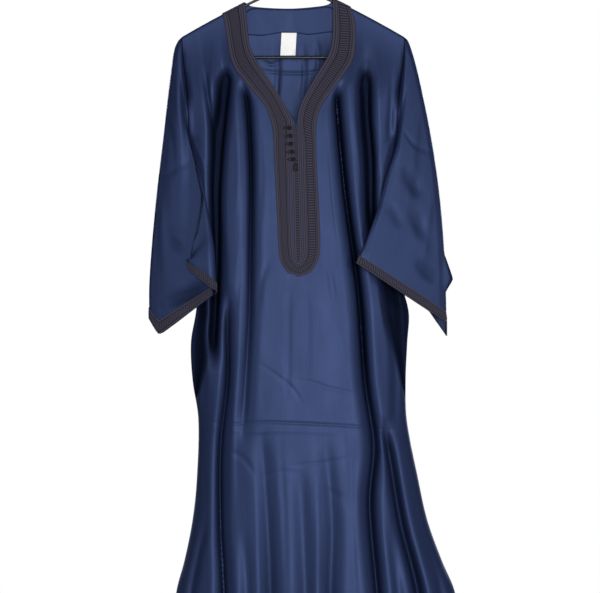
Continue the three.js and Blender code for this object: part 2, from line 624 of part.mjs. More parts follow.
// Points of one ring's centre line from the outer fold to the end of the turned-back flap,
// each with the normal to the cloth's back layer and its share of the way.
function ringCentre(rings, k) {
  const ring = rings[k];
  const turn = THREE.MathUtils.degToRad(ring.turn ?? 0);
  const top = new THREE.Vector3(ring.topX, ring.topY, ring.topZ);
  const edge = new THREE.Vector3(ring.edgeX, ring.edgeY, ring.edgeZ);
  const before = rings[Math.max(k - 1, 0)];
  const after = rings[Math.min(k + 1, rings.length - 1)];
  const fold = new THREE.Vector3(after.edgeX - before.edgeX, after.edgeY - before.edgeY,
    after.edgeZ - before.edgeZ).normalize();
  const chord = new THREE.Vector3().subVectors(edge, top);
  const length = chord.length();
  const inward = chord.clone().normalize();
  const backward = new THREE.Vector3(0, 1, 0).addScaledVector(inward, -inward.y).normalize();
  const held = fold.clone().multiplyScalar(inward.dot(fold));
  const swung = inward.clone().sub(held);
  const swungLength = swung.length();
  const reach = turn > 0 ? SLEEVE_BEND_LENGTH / turn * Math.sin(Math.min(turn, Math.PI / 2)) : 0;
  const flat = turn > 0 ? length - reach : length;
  const directionAt = (angle) => held.clone()
    .addScaledVector(swung, Math.cos(angle))
    .addScaledVector(backward, -swungLength * Math.sin(angle));
  const normalAt = (angle) => backward.clone().multiplyScalar(Math.cos(angle))
    .addScaledVector(swung, Math.sin(angle) / swungLength);
  return { ring, turn, top, flat, length, directionAt, normalAt };
}

// One ring as a closed loop: outer fold, back layer, inner end, front layer.
function ringLoop(rings, k, steps) {
  const { ring, turn, top, flat, length, directionAt, normalAt } = ringCentre(rings, k);
  const turned = turn > 0;
  const sections = turned
    ? [{ count: 5, length: flat, bends: 0 }, { count: 4, length: SLEEVE_BEND_LENGTH, bends: 1 },
      { count: steps - 9, length: ring.flap, bends: 0 }]
    : [{ count: steps, length, bends: 0 }];
  const spine = [{ point: top.clone(), angle: 0 }];
  let point = top.clone();
  let angle = 0;
  for (const section of sections) {
    for (let n = 0; n < section.count; n += 1) {
      const step = section.length / section.count;
      const turnStep = section.bends * turn / section.count;
      point = point.clone().addScaledVector(directionAt(angle + turnStep / 2), step);
      angle += turnStep;
      spine.push({ point, angle });
    }
  }
  const total = sections.reduce((sum, section) => sum + section.length, 0);
  let walked = 0;
  const half = spine.map((place, n) => {
    if (n > 0) walked += place.point.distanceTo(spine[n - 1].point);
    const s = walked / total;
    const round = Math.sqrt(clamp(Math.min(s, 1 - s) / 0.09, 0, 1));
    const puffShare = turned ? Math.sin(Math.PI * clamp(walked / (0.75 * flat), 0, 1)) ** 2
      : Math.sin(Math.PI * s);
    const thick = mix(ring.nip, ring.puff, puffShare) * round;
    const sagShare = Math.min(s / SLEEVE_SAG_PEAK, 1) * clamp(1 - walked / flat, 0, 1);
    const bendShare = turned ? clamp((walked - flat) / SLEEVE_BEND_LENGTH, 0, 1) : 0;
    const shift = (ring.lift ?? 0) * bendShare - (ring.sag ?? 0) * sagShare;
    const centre = place.point.clone();
    centre.z += shift;
    return { centre, normal: normalAt(place.angle), thick };
  });
  return loopFrom(half);
}

function loopFrom(half) {
  const end = half.length - 1;
  const loop = [half[0].centre];
  for (let n = 1; n < end; n += 1) {
    loop.push(half[n].centre.clone().addScaledVector(half[n].normal, half[n].thick));
  }
  loop.push(half[end].centre);
  for (let n = end - 1; n > 0; n -= 1) {
    loop.push(half[n].centre.clone().addScaledVector(half[n].normal, -half[n].thick));
  }
  return loop;
}

// The armhole's edge on one side of the robe, as the first ring of the sleeve.
function armholeLoop(sideSign) {
  const count = WRAP_ANGLES.length + ARMHOLE_SHARES.length;
  const pick = (grid, i) => (sideSign < 0 ? grid[i][0] : grid[i][grid[i].length - 1]);
  const seat = (point) => point.clone().add(new THREE.Vector3(sideSign * SEAM_GAP, 0, 0));
  const shoulder = seat(pick(back.grid, 0)).setY(0);
  const underarm = seat(pick(back.grid, count - 1)).setY(0);
  const loop = [shoulder];
  for (let i = 1; i < count - 1; i += 1) loop.push(seat(pick(back.grid, i)));
  loop.push(underarm);
  for (let i = count - 2; i > 0; i -= 1) loop.push(seat(pick(front.grid, i)));
  return loop;
}

function makeSleeve(sideSign, rings) {
  const steps = WRAP_ANGLES.length + ARMHOLE_SHARES.length - 1;
  const grid = [armholeLoop(sideSign)];
  rings.forEach((ring, k) => grid.push(ringLoop(rings, k, steps)));
  const normals = gridNormals(grid, true, -sideSign);
  for (const normal of normals[0]) normal.setX(0).normalize();
  const layer = (from, to, firstRow = 0) => solidBetween(
    moved(grid.slice(firstRow), normals.slice(firstRow), to),
    moved(grid.slice(firstRow), normals.slice(firstRow), from),
    true,
  );
  return layer;
}

for (const [name, sideSign, rings] of [['left', -1, SLEEVE_LEFT], ['right', 1, SLEEVE_RIGHT]]) {
  const sleeveLayer = makeSleeve(sideSign, rings);
  add(`sleeve_${name}`, sleeveLayer(-CLOTH_WALL, 0), satin);
  add(`cuff_braid_${name}`, sleeveLayer(SEAM_GAP, SEAM_GAP + CUFF_BRAID_THICKNESS,
    rings.length - 1), braidYarn);
}

// ---- buttons ----

function frontSurfaceY(x, z) {
  return panelPoint(FRONT, x, z).y - SEAM_GAP - BRAID_THICKNESS;
}

BUTTONS.forEach((button, n) => {
  const knot = new THREE.SphereGeometry(BUTTON_RADIUS, 8, 6);
  knot.scale(1, BUTTON_FLATTEN, 1);
  const clear = BUTTON_RADIUS * BUTTON_FLATTEN + 2 * SEAM_GAP;
  knot.translate(button.x, frontSurfaceY(button.x, button.z) - clear, button.z);
  add(`button_${n + 1}`, knot, braidYarn);
});

const loopRing = new THREE.TorusGeometry(LOOP.halfWidth, LOOP.cordRadius, 6, 14);
loopRing.rotateX(Math.PI / 2);
loopRing.scale(1, 1, LOOP.halfLength / LOOP.halfWidth);
loopRing.translate(LOOP.x, frontSurfaceY(LOOP.x, LOOP.z) - LOOP.cordRadius - 2 * SEAM_GAP, LOOP.z);
add('button_loop', loopRing, braidYarn);

// ---- hanger ----

function rod(points, radius, steps) {
  const section = new THREE.Shape();
  section.absarc(0, 0, radius, 0, 2 * Math.PI);
  const path = new THREE.CatmullRomCurve3(points.map(([x, z]) => new THREE.Vector3(x, 0, z)));
  return new THREE.ExtrudeGeometry(section, {
    steps, extrudePath: path, bevelEnabled: false, curveSegments: ROD_SIDES / 2,
  });
}

function hangerArm(sideSign) {
  const points = [];
  for (const share of [0.006, 0.3, 0.6, 0.8, 0.9, 0.96, 1]) {
    const x = share * HANGER_ARM_END_X;
    points.push([sideSign * x, armHeight(x)]);
  }
  points.push([sideSign * HANGER_TIP_X, HANGER_BAR_Z + 22]);
  points.push([sideSign * (HANGER_TIP_X - 1), HANGER_BAR_Z + 10]);
  points.push([sideSign * (HANGER_TIP_X - 6), HANGER_BAR_Z + 2.2]);
  points.push([sideSign * (HANGER_BAR_END_X + 4), HANGER_BAR_Z]);
  points.push([sideSign * (HANGER_BAR_END_X + SEAM_GAP), HANGER_BAR_Z]);
  return rod(points, HANGER_ROD_RADIUS, 20);
}

const bar = new THREE.CylinderGeometry(HANGER_ROD_RADIUS, HANGER_ROD_RADIUS, 2 * HANGER_BAR_END_X,
  ROD_SIDES);
bar.rotateZ(Math.PI / 2);
bar.translate(0, 0, HANGER_BAR_Z);

function hangerHook() {
  const radius = HOOK_INNER_RADIUS + HOOK_ROD_RADIUS;
  const points = [];
  for (let angle = HOOK_OPENING_ANGLE; angle >= -60; angle -= 26.5) {
    const turn = THREE.MathUtils.degToRad(angle);
    points.push([radius * Math.cos(turn), -HOOK_INNER_RADIUS + radius * Math.sin(turn)]);
  }
  points.push([1.5, HOOK_STEM_TOP_Z + 8]);
  points.push([0, HOOK_STEM_TOP_Z]);
  points.push([0, armHeight(0) + HOOK_SEAT]);
  return rod(points, HOOK_ROD_RADIUS, 28);
}

add('hanger_arm_left', hangerArm(-1), blackPlastic);
add('hanger_arm_right', hangerArm(1), blackPlastic);
add('hanger_bar', bar, blackPlastic);
add('hanger_hook', hangerHook(), blackPlastic);

export default gandoura;
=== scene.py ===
"""A gandoura of navy satin on a slim black hanger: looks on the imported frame.

Sizes in the tables are millimetres, heights are z below the hook, and x runs to the viewer's
right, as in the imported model. Meshes are made in metres. The robe's front faces -Y.
"""
import math

import bmesh
import bpy
import numpy as np
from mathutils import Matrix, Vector


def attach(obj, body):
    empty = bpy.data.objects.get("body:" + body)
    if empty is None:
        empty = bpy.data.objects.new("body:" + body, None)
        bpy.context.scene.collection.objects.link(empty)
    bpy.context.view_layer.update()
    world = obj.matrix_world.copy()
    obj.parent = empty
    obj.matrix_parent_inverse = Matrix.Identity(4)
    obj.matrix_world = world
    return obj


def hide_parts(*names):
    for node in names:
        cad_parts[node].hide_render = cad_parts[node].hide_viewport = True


MM = 0.001

# ---- the hanger and the cloth over it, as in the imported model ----
HANGER_ROD_RADIUS = 2.5
HANGER_APEX_Z = -82.0
HANGER_SLOPE = 0.42
HANGER_BOW = 0.0004
HANGER_BAR_Z = -221.0
HANGER_ARM_END_X = 205.0
HANGER_TIP_X = 211.5
HANGER_BAR_END_X = 198.0
ROD_SIDES = 14
HOOK_INNER_RADIUS = 19.0
HOOK_ROD_RADIUS = 2.2
WRAP_DEPTH = 4.8
WRAP_HEIGHT = 5.47
FALL_LENGTH = 150.0
SHOULDER_X = 210.0
UNDERARM_Z = -376.0
ARMHOLE_BELLY_Z = -250.0
ARMHOLE_DEPTH = 15.0
HEM_Z = -1500.0
CLOTH_SHOWN = 1.0
BRAID_LIFT = 0.35
SEAM_HALF = 0.15

# Rows round the shoulder, down the armhole and below it, and columns
WRAP_ROWS = 8
FRONT_ARMHOLE_ROWS = 40
FRONT_HALF_COLUMNS = 88
BACK_ARMHOLE_ROWS = 90
BACK_BODY_ROWS = 190
BACK_COLUMNS = 110
CROWDING = 0.25

# z, left and right side seam, depth of the front and of the back
BODY = np.array([
    (-178, -210, 210, 17, 15),
    (-226, -207, 208, 23, 20),
    (-264, -203, 203, 28, 24),
    (-302, -199, 199, 32, 27),
    (-340, -197, 197, 35, 29),
    (-376, -196, 196, 37, 31),
    (-400, -192, 193, 38, 32),
    (-440, -186, 187, 40, 34),
    (-500, -178, 180, 42, 36),
    (-570, -174, 182, 45, 38),
    (-620, -175, 194, 47, 40),
    (-660, -179, 208, 49, 42),
    (-705, -184, 219, 51, 44),
    (-760, -193, 216, 53, 46),
    (-830, -190, 213, 55, 48),
    (-905, -179, 215, 59, 51),
    (-1020, -182, 237, 67, 58),
    (-1096, -190, 254, 74, 64),
    (-1171, -205, 281, 82, 71),
    (-1228, -220, 305, 88, 77),
    (-1370, -238, 338, 102, 90),
    (-1500, -246, 358, 112, 100),
], dtype=float)
LEFT, RIGHT, FRONT_DEPTH, BACK_DEPTH = 1, 2, 3, 4

# Largest folds: (z, x) along the valley, (first, last) half width, (first, last) depth, and the
# narrow slot at the bottom of the valley: its half width, its depth at both ends, and the side
# (1 right, -1 left, 0 neither) whose edge hangs over it
FRONT_FOLDS = [
    ([(-170, -176), (-245, -167), (-321, -156), (-360, -151)], (9, 10), (5, 6), (5, 4, 6, 1)),
    ([(-150, -120), (-264, -126), (-340, -134), (-415, -141), (-491, -145), (-567, -145),
      (-661, -146), (-760, -150)], (20, 18), (15, 13), (14, 22, 24, 1)),
    ([(-225, -92), (-415, -80), (-586, -80), (-718, -82), (-831, -88), (-900, -92)],
     (13, 15), (9, 5), (5.5, 17, 3, -1)),
    ([(-690, -118), (-831, -122), (-954, -135), (-1096, -135), (-1224, -128), (-1500, -124)],
     (12, 18), (9, 17), (5, 8, 16, 1)),
    ([(-940, -56), (-1096, -46), (-1224, -41), (-1500, -36)], (18, 22), (2, 16), (8, 1, 8, -1)),
    ([(-1000, 14), (-1224, 24), (-1500, 32)], (15, 20), (2, 14), (9, 0, 3, 0)),
    ([(-940, 61), (-1096, 73), (-1224, 70), (-1500, 78)], (18, 20), (2, 16), (8, 0, 8, 1)),
    ([(-230, 78), (-283, 80), (-472, 97), (-661, 122), (-831, 135), (-954, 151), (-1060, 143),
      (-1224, 156), (-1500, 172)], (14, 18), (10, 18), (6, 18, 17, -1)),
    ([(-212, 135), (-270, 138), (-340, 140), (-415, 146), (-491, 148), (-540, 150)], (17, 15),
     (13, 11), (14, 22, 22, 1)),
    ([(-190, 190), (-245, 189), (-359, 184)], (8, 9), (6, 7), (5, 4, 6, -1)),
    ([(-640, 172), (-718, 184), (-774, 194), (-831, 196), (-880, 196)], (12, 12), (9, 8),
     (8, 0, 0, 0)),
    ([(-640, -166), (-718, -168), (-775, -173), (-850, -172)], (10, 10), (8, 7), (8, 0, 0, 0)),
    ([(-930, 174), (-1096, 201), (-1224, 232), (-1500, 268)], (14, 20), (6, 18), (10, 18, 20, -1)),
    ([(-1100, 182), (-1224, 196), (-1500, 218)], (11, 15), (3, 11), (8, 0, 4, 0)),
    ([(-1110, -168), (-1224, -190), (-1500, -206)], (11, 16), (4, 14), (7, 6, 12, 1)),
    ([(-1110, 250), (-1224, 278), (-1500, 318)], (12, 16), (4, 14), (8, 4, 10, -1)),
    ([(-1130, -88), (-1224, -84), (-1500, -82)], (12, 16), (3, 10), (8, 0, 4, 0)),
]
BACK_FOLDS = [
    ([(-165, -160), (-300, -152), (-450, -140), (-620, -138)], (12, 14), (7, 8), (7, 8, 10, 1)),
    ([(-150, -112), (-320, -104), (-560, -100), (-830, -108), (-1100, -118), (-1500, -134)],
     (14, 20), (7, 18), (7, 9, 12, -1)),
    ([(-320, -48), (-620, -44), (-900, -52), (-1200, -56), (-1500, -60)], (15, 20), (5, 16),
     (8, 0, 8, 1)),
    ([(-400, 12), (-500, 10), (-830, 16), (-1160, 24), (-1500, 30)], (15, 20), (5, 16),
     (8, 0, 8, -1)),
    ([(-180, 72), (-380, 70), (-640, 82), (-900, 92), (-1200, 102), (-1500, 110)],
     (14, 20), (7, 18), (8, 6, 12, -1)),
    ([(-160, 128), (-320, 130), (-480, 138), (-640, 150)], (12, 13), (7, 7), (7, 8, 10, -1)),
    ([(-700, 150), (-900, 156), (-1120, 180), (-1300, 198), (-1500, 208)], (14, 20), (6, 18),
     (8, 7, 12, 1)),
    ([(-1020, 214), (-1224, 250), (-1500, 286)], (13, 18), (5, 16), (8, 3, 10, -1)),
    ([(-960, -158), (-1224, -184), (-1500, -200)], (12, 17), (5, 15), (8, 3, 10, 1)),
]

# The front's sides fall back behind its flat middle under the sleeves: (x, z) of the line
LEFT_RECESS = [(-172, -600), (-164, -640), (-158, -700), (-158, -740), (-160, -793),
               (-172, -840), (-184, -880)]
RIGHT_RECESS = [(150, -560), (156, -620), (161, -660), (169, -718), (182, -760), (193, -793),
                (202, -831), (212, -880)]
RECESS_Y = 5.0
RECESS_FADE = 60.0
LEFT_RECESS_SPAN = (-600.0, -900.0)
RIGHT_RECESS_SPAN = (-560.0, -890.0)

# A fold begins and ends over these lengths, dies out over this share of the panel at a side
# seam, and its edge hangs over its slot by this share of the slot's width
FOLD_STARTS_OVER = 80.0
FOLD_ENDS_OVER = 90.0
SEAM_CALM = 0.22
OVERHANG = 0.35

# The hanger's bar holds the cloth out: share of a fold's depth that it takes, where, and the
# least that each panel stands off the hanger's plane below it
BAR_TAKES = 0.68
BAR_TAKES_ABOVE = -285.0
BAR_CLEARS_ABOVE = -300.0
BAR_FADE = 50.0
BAR_CLEARANCE = 1.8
LEAST_DEPTH_FRONT = -3.0
LEAST_DEPTH_BACK = 6.5
GROOVE_BOTTOM = -330.0

# Painted shade in the folds of the front: it starts this deep, is full this much deeper, reaches
# this share at the armhole's seam, and is weaker on the skirt
HOLLOW_SHADE_FROM = 5.0
HOLLOW_SHADE_OVER = 14.0
SEAM_SHADE = 0.8
SKIRT_TOP = -760.0
SKIRT_FADE = 160.0
SKIRT_OPENNESS = 0.45

# Creases: (x, z) along the line, half width, depth (a ridge is below zero)
FRONT_CREASES = [
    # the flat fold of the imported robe, across the lap
    ([(-176, -905), (-120, -911), (-60, -907), (0, -908), (60, -911), (110, -914), (150, -919),
      (205, -924)], 3.2, 1.2),
    ([(-172, -918), (-90, -924), (0, -922), (100, -928)], 6, -0.7),
    # slanting creases over the lap
    ([(5, -826), (40, -834), (66, -843), (100, -850), (128, -856)], 3.4, 1.0),
    ([(-66, -796), (-30, -820), (0, -845), (22, -880)], 3.8, 0.8),
    ([(-10, -988), (30, -984), (66, -980), (120, -969)], 3.4, 0.9),
    ([(-60, -1010), (-20, -998), (10, -1000)], 6, 0.9),
    ([(-120, -960), (-92, -975), (-70, -1004)], 6, 1.0),
    ([(60, -1030), (96, -1046), (132, -1052)], 6, 1.0),
    # creases from the end of the braid
    ([(-6, -642), (-8, -720), (-10, -860)], 7, 0.9),
    ([(22, -640), (28, -710), (26, -830)], 8, 0.8),
    ([(-40, -600), (-58, -640), (-64, -700)], 7, 1.2),
    ([(56, -600), (70, -640), (78, -690)], 7, 1.2),
    # fine upright folds of the chest
    ([(-150, -180), (-152, -260), (-158, -330)], 6, -1.1),
    ([(-108, -270), (-103, -340), (-101, -430), (-106, -520)], 6, -1.2),
    ([(-62, -350), (-58, -440), (-60, -540)], 5, 0.9),
    ([(-96, -580), (-100, -640), (-104, -700)], 5, 0.8),
    ([(60, -340), (64, -420), (72, -520), (84, -600)], 5, 0.9),
    ([(112, -300), (122, -400), (133, -500)], 6, -1.3),
    ([(160, -200), (163, -270), (166, -350)], 5, -1.1),
    ([(176, -380), (168, -430), (158, -480)], 6, 1.0),
    # puckers at the underarms
    ([(190, -372), (176, -384), (158, -392)], 4, 0.8),
    ([(-190, -372), (-176, -386), (-160, -398)], 4, 0.8),
    ([(-188, -384), (-170, -404), (-160, -430)], 4, 0.6),
    # upright creases of the skirt
    ([(-100, -760), (-108, -850), (-112, -950), (-110, -1060)], 6, -1.1),
    ([(-24, -940), (-18, -1040), (-14, -1140), (-10, -1260)], 7, 0.9),
    ([(-72, -1000), (-66, -1100), (-62, -1230), (-58, -1400)], 7, -1.0),
    ([(44, -1010), (46, -1120), (44, -1240), (50, -1400)], 6, -1.0),
    ([(104, -930), (110, -1040), (112, -1160), (120, -1300)], 6, 0.9),
    ([(176, -880), (184, -960), (186, -1040)], 6, -1.2),
    ([(222, -1010), (240, -1120), (262, -1230), (290, -1400)], 7, 1.0),
    ([(-170, -960), (-162, -1060), (-160, -1180)], 6, 0.8),
    ([(-150, -1180), (-156, -1300), (-160, -1460)], 7, -1.0),
]
BACK_CREASES = [
    # seen through the neck: a seam across, upright pleats, and a small fold under the bar
    ([(-66, -243), (-30, -247), (0, -248), (30, -247), (66, -242)], 2.6, -2.2),
    ([(-30, -190), (-29, -250), (-33, -320)], 4, -4.0),
    ([(20, -196), (21, -250), (18, -300)], 3.6, -4.0),
    ([(46, -186), (48, -215), (46, -250)], 4, -4.0),
    ([(-57, -226), (-42, -232), (-24, -225)], 3, -2.5),
    ([(-176, -905), (-60, -910), (60, -912), (205, -922)], 8, 1.3),
    ([(-90, -700), (-40, -716), (20, -722)], 7, 1.1),
    ([(30, -1010), (80, -1002), (130, -1008)], 7, 1.1),
    ([(-150, -240), (-146, -330), (-138, -420)], 6, -1.0),
    ([(-70, -210), (-66, -320), (-60, -430)], 6, 0.9),
    ([(40, -220), (42, -330), (46, -460)], 6, -1.0),
    ([(104, -230), (106, -340), (112, -450)], 6, 0.9),
    ([(-76, -620), (-80, -760), (-82, -900)], 6, -1.0),
    ([(50, -640), (54, -780), (56, -930)], 6, 0.9),
    ([(-20, -1000), (-16, -1150), (-14, -1330)], 7, 0.9),
    ([(66, -1060), (70, -1200), (72, -1400)], 7, -1.0),
    ([(150, -1040), (160, -1180), (172, -1380)], 7, 0.9),
    ([(-110, -1000), (-96, -1160), (-92, -1380)], 7, -0.9),
    ([(188, -380), (172, -398), (150, -408)], 4, 0.8),
    ([(-188, -380), (-172, -398), (-152, -410)], 4, 0.8),
]

# ---- neckline and braid ----
NECK_LEFT = [(-92, -60), (-90, -126), (-86, -160), (-82, -198), (-71, -226), (-50, -259),
             (-31, -287), (-14, -317), (3, -344)]
NECK_RIGHT = [(75, -60), (75, -126), (75, -170), (71, -208), (52, -245), (31, -279), (16, -311),
              (6, -344)]
BRAID_EDGE_LEFT = [(-134, -130), (-124, -189), (-118, -223), (-109, -245), (-90, -270),
                   (-71, -293), (-52, -317), (-43, -340), (-37, -368), (-35, -415), (-31, -491),
                   (-28, -557)]
BRAID_EDGE_RIGHT = [(110, -128), (118, -151), (118, -198), (112, -230), (95, -255), (77, -283),
                    (60, -306), (48, -330), (43, -359), (44, -415), (48, -491), (51, -567)]
BACK_NECK = [(-94, -112), (-88, -119), (-76, -124), (-40, -127), (0, -127.5), (36, -125),
             (62, -121.5), (74, -115), (78, -104)]
BRAID_MASK_MARGIN = 26.0
BRAID_END_Z = -636.0

RIB_PITCH = 4.8
PLAIT_PITCH = 3.6
TWIST_PITCH = 2.6

FACING_TOP = [(-98, -144), (-86, -132), (-74, -127), (-40, -128.5), (0, -129), (36, -127),
              (62, -124), (74, -127), (88, -140)]
FACING_BOTTOM = [(-100, -178), (-80, -178), (-60, -179), (-40, -176), (-20, -173), (8, -174),
                 (30, -177), (56, -174), (90, -171)]

# How far in from the back's outer face the facing's two faces lie, and the label's front
FACING_DEPTHS = (1.9, 2.8)
LABEL_DEPTH = 3.5
LABEL_THICKNESS = 0.45
LABEL_CURL = 4.5
LABEL = {"left": -22.0, "right": 7.0, "top": -173.0, "bottom": -215.0, "lean": 2.5}
BUTTONS = [(-6, -358), (-4.5, -373), (-3, -388), (-1, -403), (1.5, -417)]
BUTTON_RADIUS = 4.2
BUTTON_RINGS = 20
BUTTON_SIDES = 32
BUTTON_FLATTER = 0.8
LOOP = {"x": 5.0, "z": -432.0, "half_width": 3.4, "half_length": 7.0, "radius": 1.3}

# ---- sleeves: top x, z, y; inner edge x, z, y; puff, nip; turn, flap, lift, sag ----
SLEEVE_RIGHT = [
    (218, -191, 0, 194.5, -384, -3, 14, 7, 0, 0, 0, 0),
    (226, -213, 0, 192, -394, -9, 13, 6, 0, 0, 0, 0),
    (236, -250, -1, 187, -413, -20, 12, 5, 0, 0, 0, 0),
    (247, -300, -2, 176, -442, -29, 11, 5, 0, 0, 0, 0),
    (258, -355, -3, 168, -473, -35, 10, 4, 0, 0, 0, 0),
    (268, -415, -4, 160, -503, -39, 10, 4, 0, 0, 0, 0),
    (276, -475, -6, 150, -532, -45, 9, 4, 0, 0, 0, 0),
    (282, -538, -8, 140, -559, -50, 9, 4, 0, 0, 0, 0),
    (286, -602, -10, 132, -580, -54, 9, 4, 0, 0, 0, 0),
    (288, -660, -12, 127, -589, -56, 9, 4, 0, 0, 0, 0),
    (289, -700, -13, 124, -596, -57, 9, 4, 0, 0, 0, 0),
    (289, -722, -14, 118, -611, -58, 9, 4, 0, 0, 0, 0),
]
SLEEVE_LEFT = [
    (-218, -191, 0, -194.5, -384, -3, 14, 7, 0, 12, 0, 0),
    (-226, -213, 0, -192, -394, -9, 13, 6, 20, 12, 0, 0),
    (-231, -250, -1, -187, -412, -19, 12, 5, 60, 14, 0, 0),
    (-237, -300, -2, -177, -440, -27, 11, 4, 135, 34, 0, 0),
    (-243, -355, -3, -169, -474, -34, 10, 3.6, 168, 60, 0, 0),
    (-250, -415, -4, -162, -510, -40, 9, 3.6, 176, 68, 2, 0),
    (-257, -475, -6, -155, -546, -45, 9, 3.6, 180, 58, 5, 4),
    (-263, -538, -8, -149, -578, -50, 8, 3.6, 180, 46, 10, 8),
    (-268, -600, -10, -146, -608, -53, 8, 3.6, 180, 42, 17, 14),
    (-271, -655, -12, -145, -634, -54, 8, 3.6, 180, 42, 25, 26),
    (-271, -696, -13, -144, -654, -55, 8, 3.6, 180, 43, 31, 38),
    (-271, -714, -14, -144, -669, -56, 8, 3.6, 180, 43, 34, 46),
]
SLEEVE_BEND_LENGTH = 24.0
SLEEVE_SAG_PEAK = 0.12
SLEEVE_FADE_ROWS = 12
# Painted shade on the sleeves: its rows down from the armhole, the crease depth that makes it full,
# and its most
ARMHOLE_SHADE_ROWS = 6
SLEEVE_SHADE_DEPTH = 9.0
SLEEVE_SHADE_MOST = 0.6
REAR_CORNER_OUT = 14.0
REAR_CORNER_TOP = -592.0
REAR_CORNER_BOTTOM = -664.0
REAR_TIP_LONGER = 25.0


# ---- curves and tables ----

def between(s, span, first, last, first_slope, last_slope):
    """Cubic from first to last with the slopes given; s is the share of the span."""
    start = 2 * s ** 3 - 3 * s ** 2 + 1
    return (start * first + (1 - start) * last
            + span * ((s ** 3 - 2 * s ** 2 + s) * first_slope + (s ** 3 - s ** 2) * last_slope))


def along(heights, values, z):
    """Smooth curve through table rows whose heights run downwards; z is an array."""
    depth = -np.asarray(heights, dtype=float)
    value = np.asarray(values, dtype=float)
    last = len(depth) - 1
    before = np.maximum(np.arange(last + 1) - 1, 0)
    after = np.minimum(np.arange(last + 1) + 1, last)
    slope = (value[after] - value[before]) / (depth[after] - depth[before])
    at = np.clip(-np.asarray(z, dtype=float), depth[0], depth[last])
    k = np.clip(np.searchsorted(depth, at, side="right") - 1, 0, last - 1)
    span = depth[k + 1] - depth[k]
    return between((at - depth[k]) / span, span, value[k], value[k + 1], slope[k], slope[k + 1])


def ease(share):
    s = np.clip(share, 0, 1)
    return s * s * (3 - 2 * s)


def body_at(column, z):
    return along(BODY[:, 0], BODY[:, column], z)


def smooth_path(points, count):
    """Evenly spaced points on a smooth curve through the given ones."""
    p = np.asarray(points, dtype=float)
    padded = np.vstack([2 * p[0] - p[1], p, 2 * p[-1] - p[-2]])
    dense = []
    for k in range(1, len(padded) - 2):
        a, b, c, d = padded[k - 1:k + 3]
        for t in np.linspace(0, 1, 24, endpoint=False):
            dense.append(0.5 * (2 * b + (c - a) * t + (2 * a - 5 * b + 4 * c - d) * t ** 2
                                + (3 * b - a - 3 * c + d) * t ** 3))
    dense.append(p[-1])
    return resample(np.array(dense), count)


def resample(points, count):
    steps = np.linalg.norm(np.diff(points, axis=0), axis=1)
    run = np.concatenate([[0], np.cumsum(steps)])
    at = np.linspace(0, run[-1], count)
    return np.stack([np.interp(at, run, points[:, i]) for i in range(points.shape[1])], axis=1)


# ---- the robe's two panels ----

def shoulder_height(x):
    return HANGER_APEX_Z - HANGER_SLOPE * np.abs(x) - HANGER_BOW * x * x + WRAP_HEIGHT


def fold_depth(folds, x, z):
    """How far the folds fall back at x and z, and how far their edges hang over sideways."""
    total = np.zeros(np.shape(x))
    aside = np.zeros(np.shape(x))
    for line, widths, depths, (slot_width, slot_first, slot_last, side) in folds:
        heights = [place[0] for place in line]
        first, last = heights[0], heights[-1]
        fade_in = ease((first + FOLD_STARTS_OVER / 2 - z) / FOLD_STARTS_OVER)
        lead_out = FOLD_ENDS_OVER * 2 / 3
        fade_out = 1.0 if last == HEM_Z else ease((z - last + lead_out) / FOLD_ENDS_OVER)
        share = np.clip((z - first) / (last - first), 0, 1)
        width = widths[0] + (widths[1] - widths[0]) * share
        depth = depths[0] + (depths[1] - depths[0]) * share
        slot_depth = slot_first + (slot_last - slot_first) * share
        off = x - along(heights, [place[1] for place in line], z)
        q = off / width
        slot = slot_depth * np.exp(-(off / slot_width) ** 2)
        total += (depth * (1 - 0.7 * q * q) * np.exp(-0.8 * q * q) + slot) * fade_in * fade_out
        hang = side * off / slot_width
        over = ease(hang / 1.2) * (1 - ease((hang - 1.2) / 2.2))
        reach = OVERHANG * slot_width * np.clip(slot_depth / slot_width - 0.4, 0, 1)
        aside -= side * reach * over * fade_in * fade_out
    return total, aside


def recess(x, z, left_seam, right_seam):
    """Share of the way back behind the front's middle, at its sides below the sleeves."""
    def one_side(beyond, room, top, bottom):
        share = np.clip(beyond / np.maximum(room, 8) / 0.8, 0, 1) ** 0.9
        return share * ease((top - z) / RECESS_FADE) * ease((z - bottom) / RECESS_FADE)

    left_line = line_at(LEFT_RECESS, z)
    right_line = line_at(RIGHT_RECESS, z)
    return np.maximum(one_side(left_line - x, left_line - left_seam, *LEFT_RECESS_SPAN),
                      one_side(x - right_line, right_seam - right_line, *RIGHT_RECESS_SPAN))


def crease_depth(creases, x, z):
    """Soft troughs and ridges round the given lines, fading out at both ends."""
    total = np.zeros(np.shape(x))
    for line, width, depth in creases:
        length = np.linalg.norm(np.diff(np.array(line, dtype=float), axis=0), axis=1).sum()
        path = smooth_path(line, int(max(40, 2 * length / width)))
        reach = 3 * width
        near = ((x > path[:, 0].min() - reach) & (x < path[:, 0].max() + reach)
                & (z > path[:, 1].min() - reach) & (z < path[:, 1].max() + reach))
        if not near.any():
            continue
        place = np.stack([x[near], z[near]], axis=-1)
        gaps = np.linalg.norm(place[:, None, :] - path[None, :, :], axis=2)
        nearest = gaps.argmin(axis=1)
        share = nearest / (len(path) - 1)
        taper = np.sin(np.pi * np.clip(share, 0.02, 0.98)) ** 0.6
        q = gaps.min(axis=1) / width
        total[near] += depth * taper * (1 - 0.5 * q * q) * np.exp(-0.9 * q * q)
    return total


def line_at(points, z):
    return along([point[1] for point in points], [point[0] for point in points], z)


def braid_mask(x, z):
    """Folds die out under the stiff braid of the front."""
    upper = np.maximum(z, -557.0)
    beside = np.maximum(line_at(BRAID_EDGE_LEFT, upper) - x, x - line_at(BRAID_EDGE_RIGHT, upper))
    beside = np.maximum(beside, 0) / BRAID_MASK_MARGIN
    below = np.maximum(BRAID_END_Z - z, 0) / (2 * BRAID_MASK_MARGIN)
    return ease(np.hypot(beside, below))


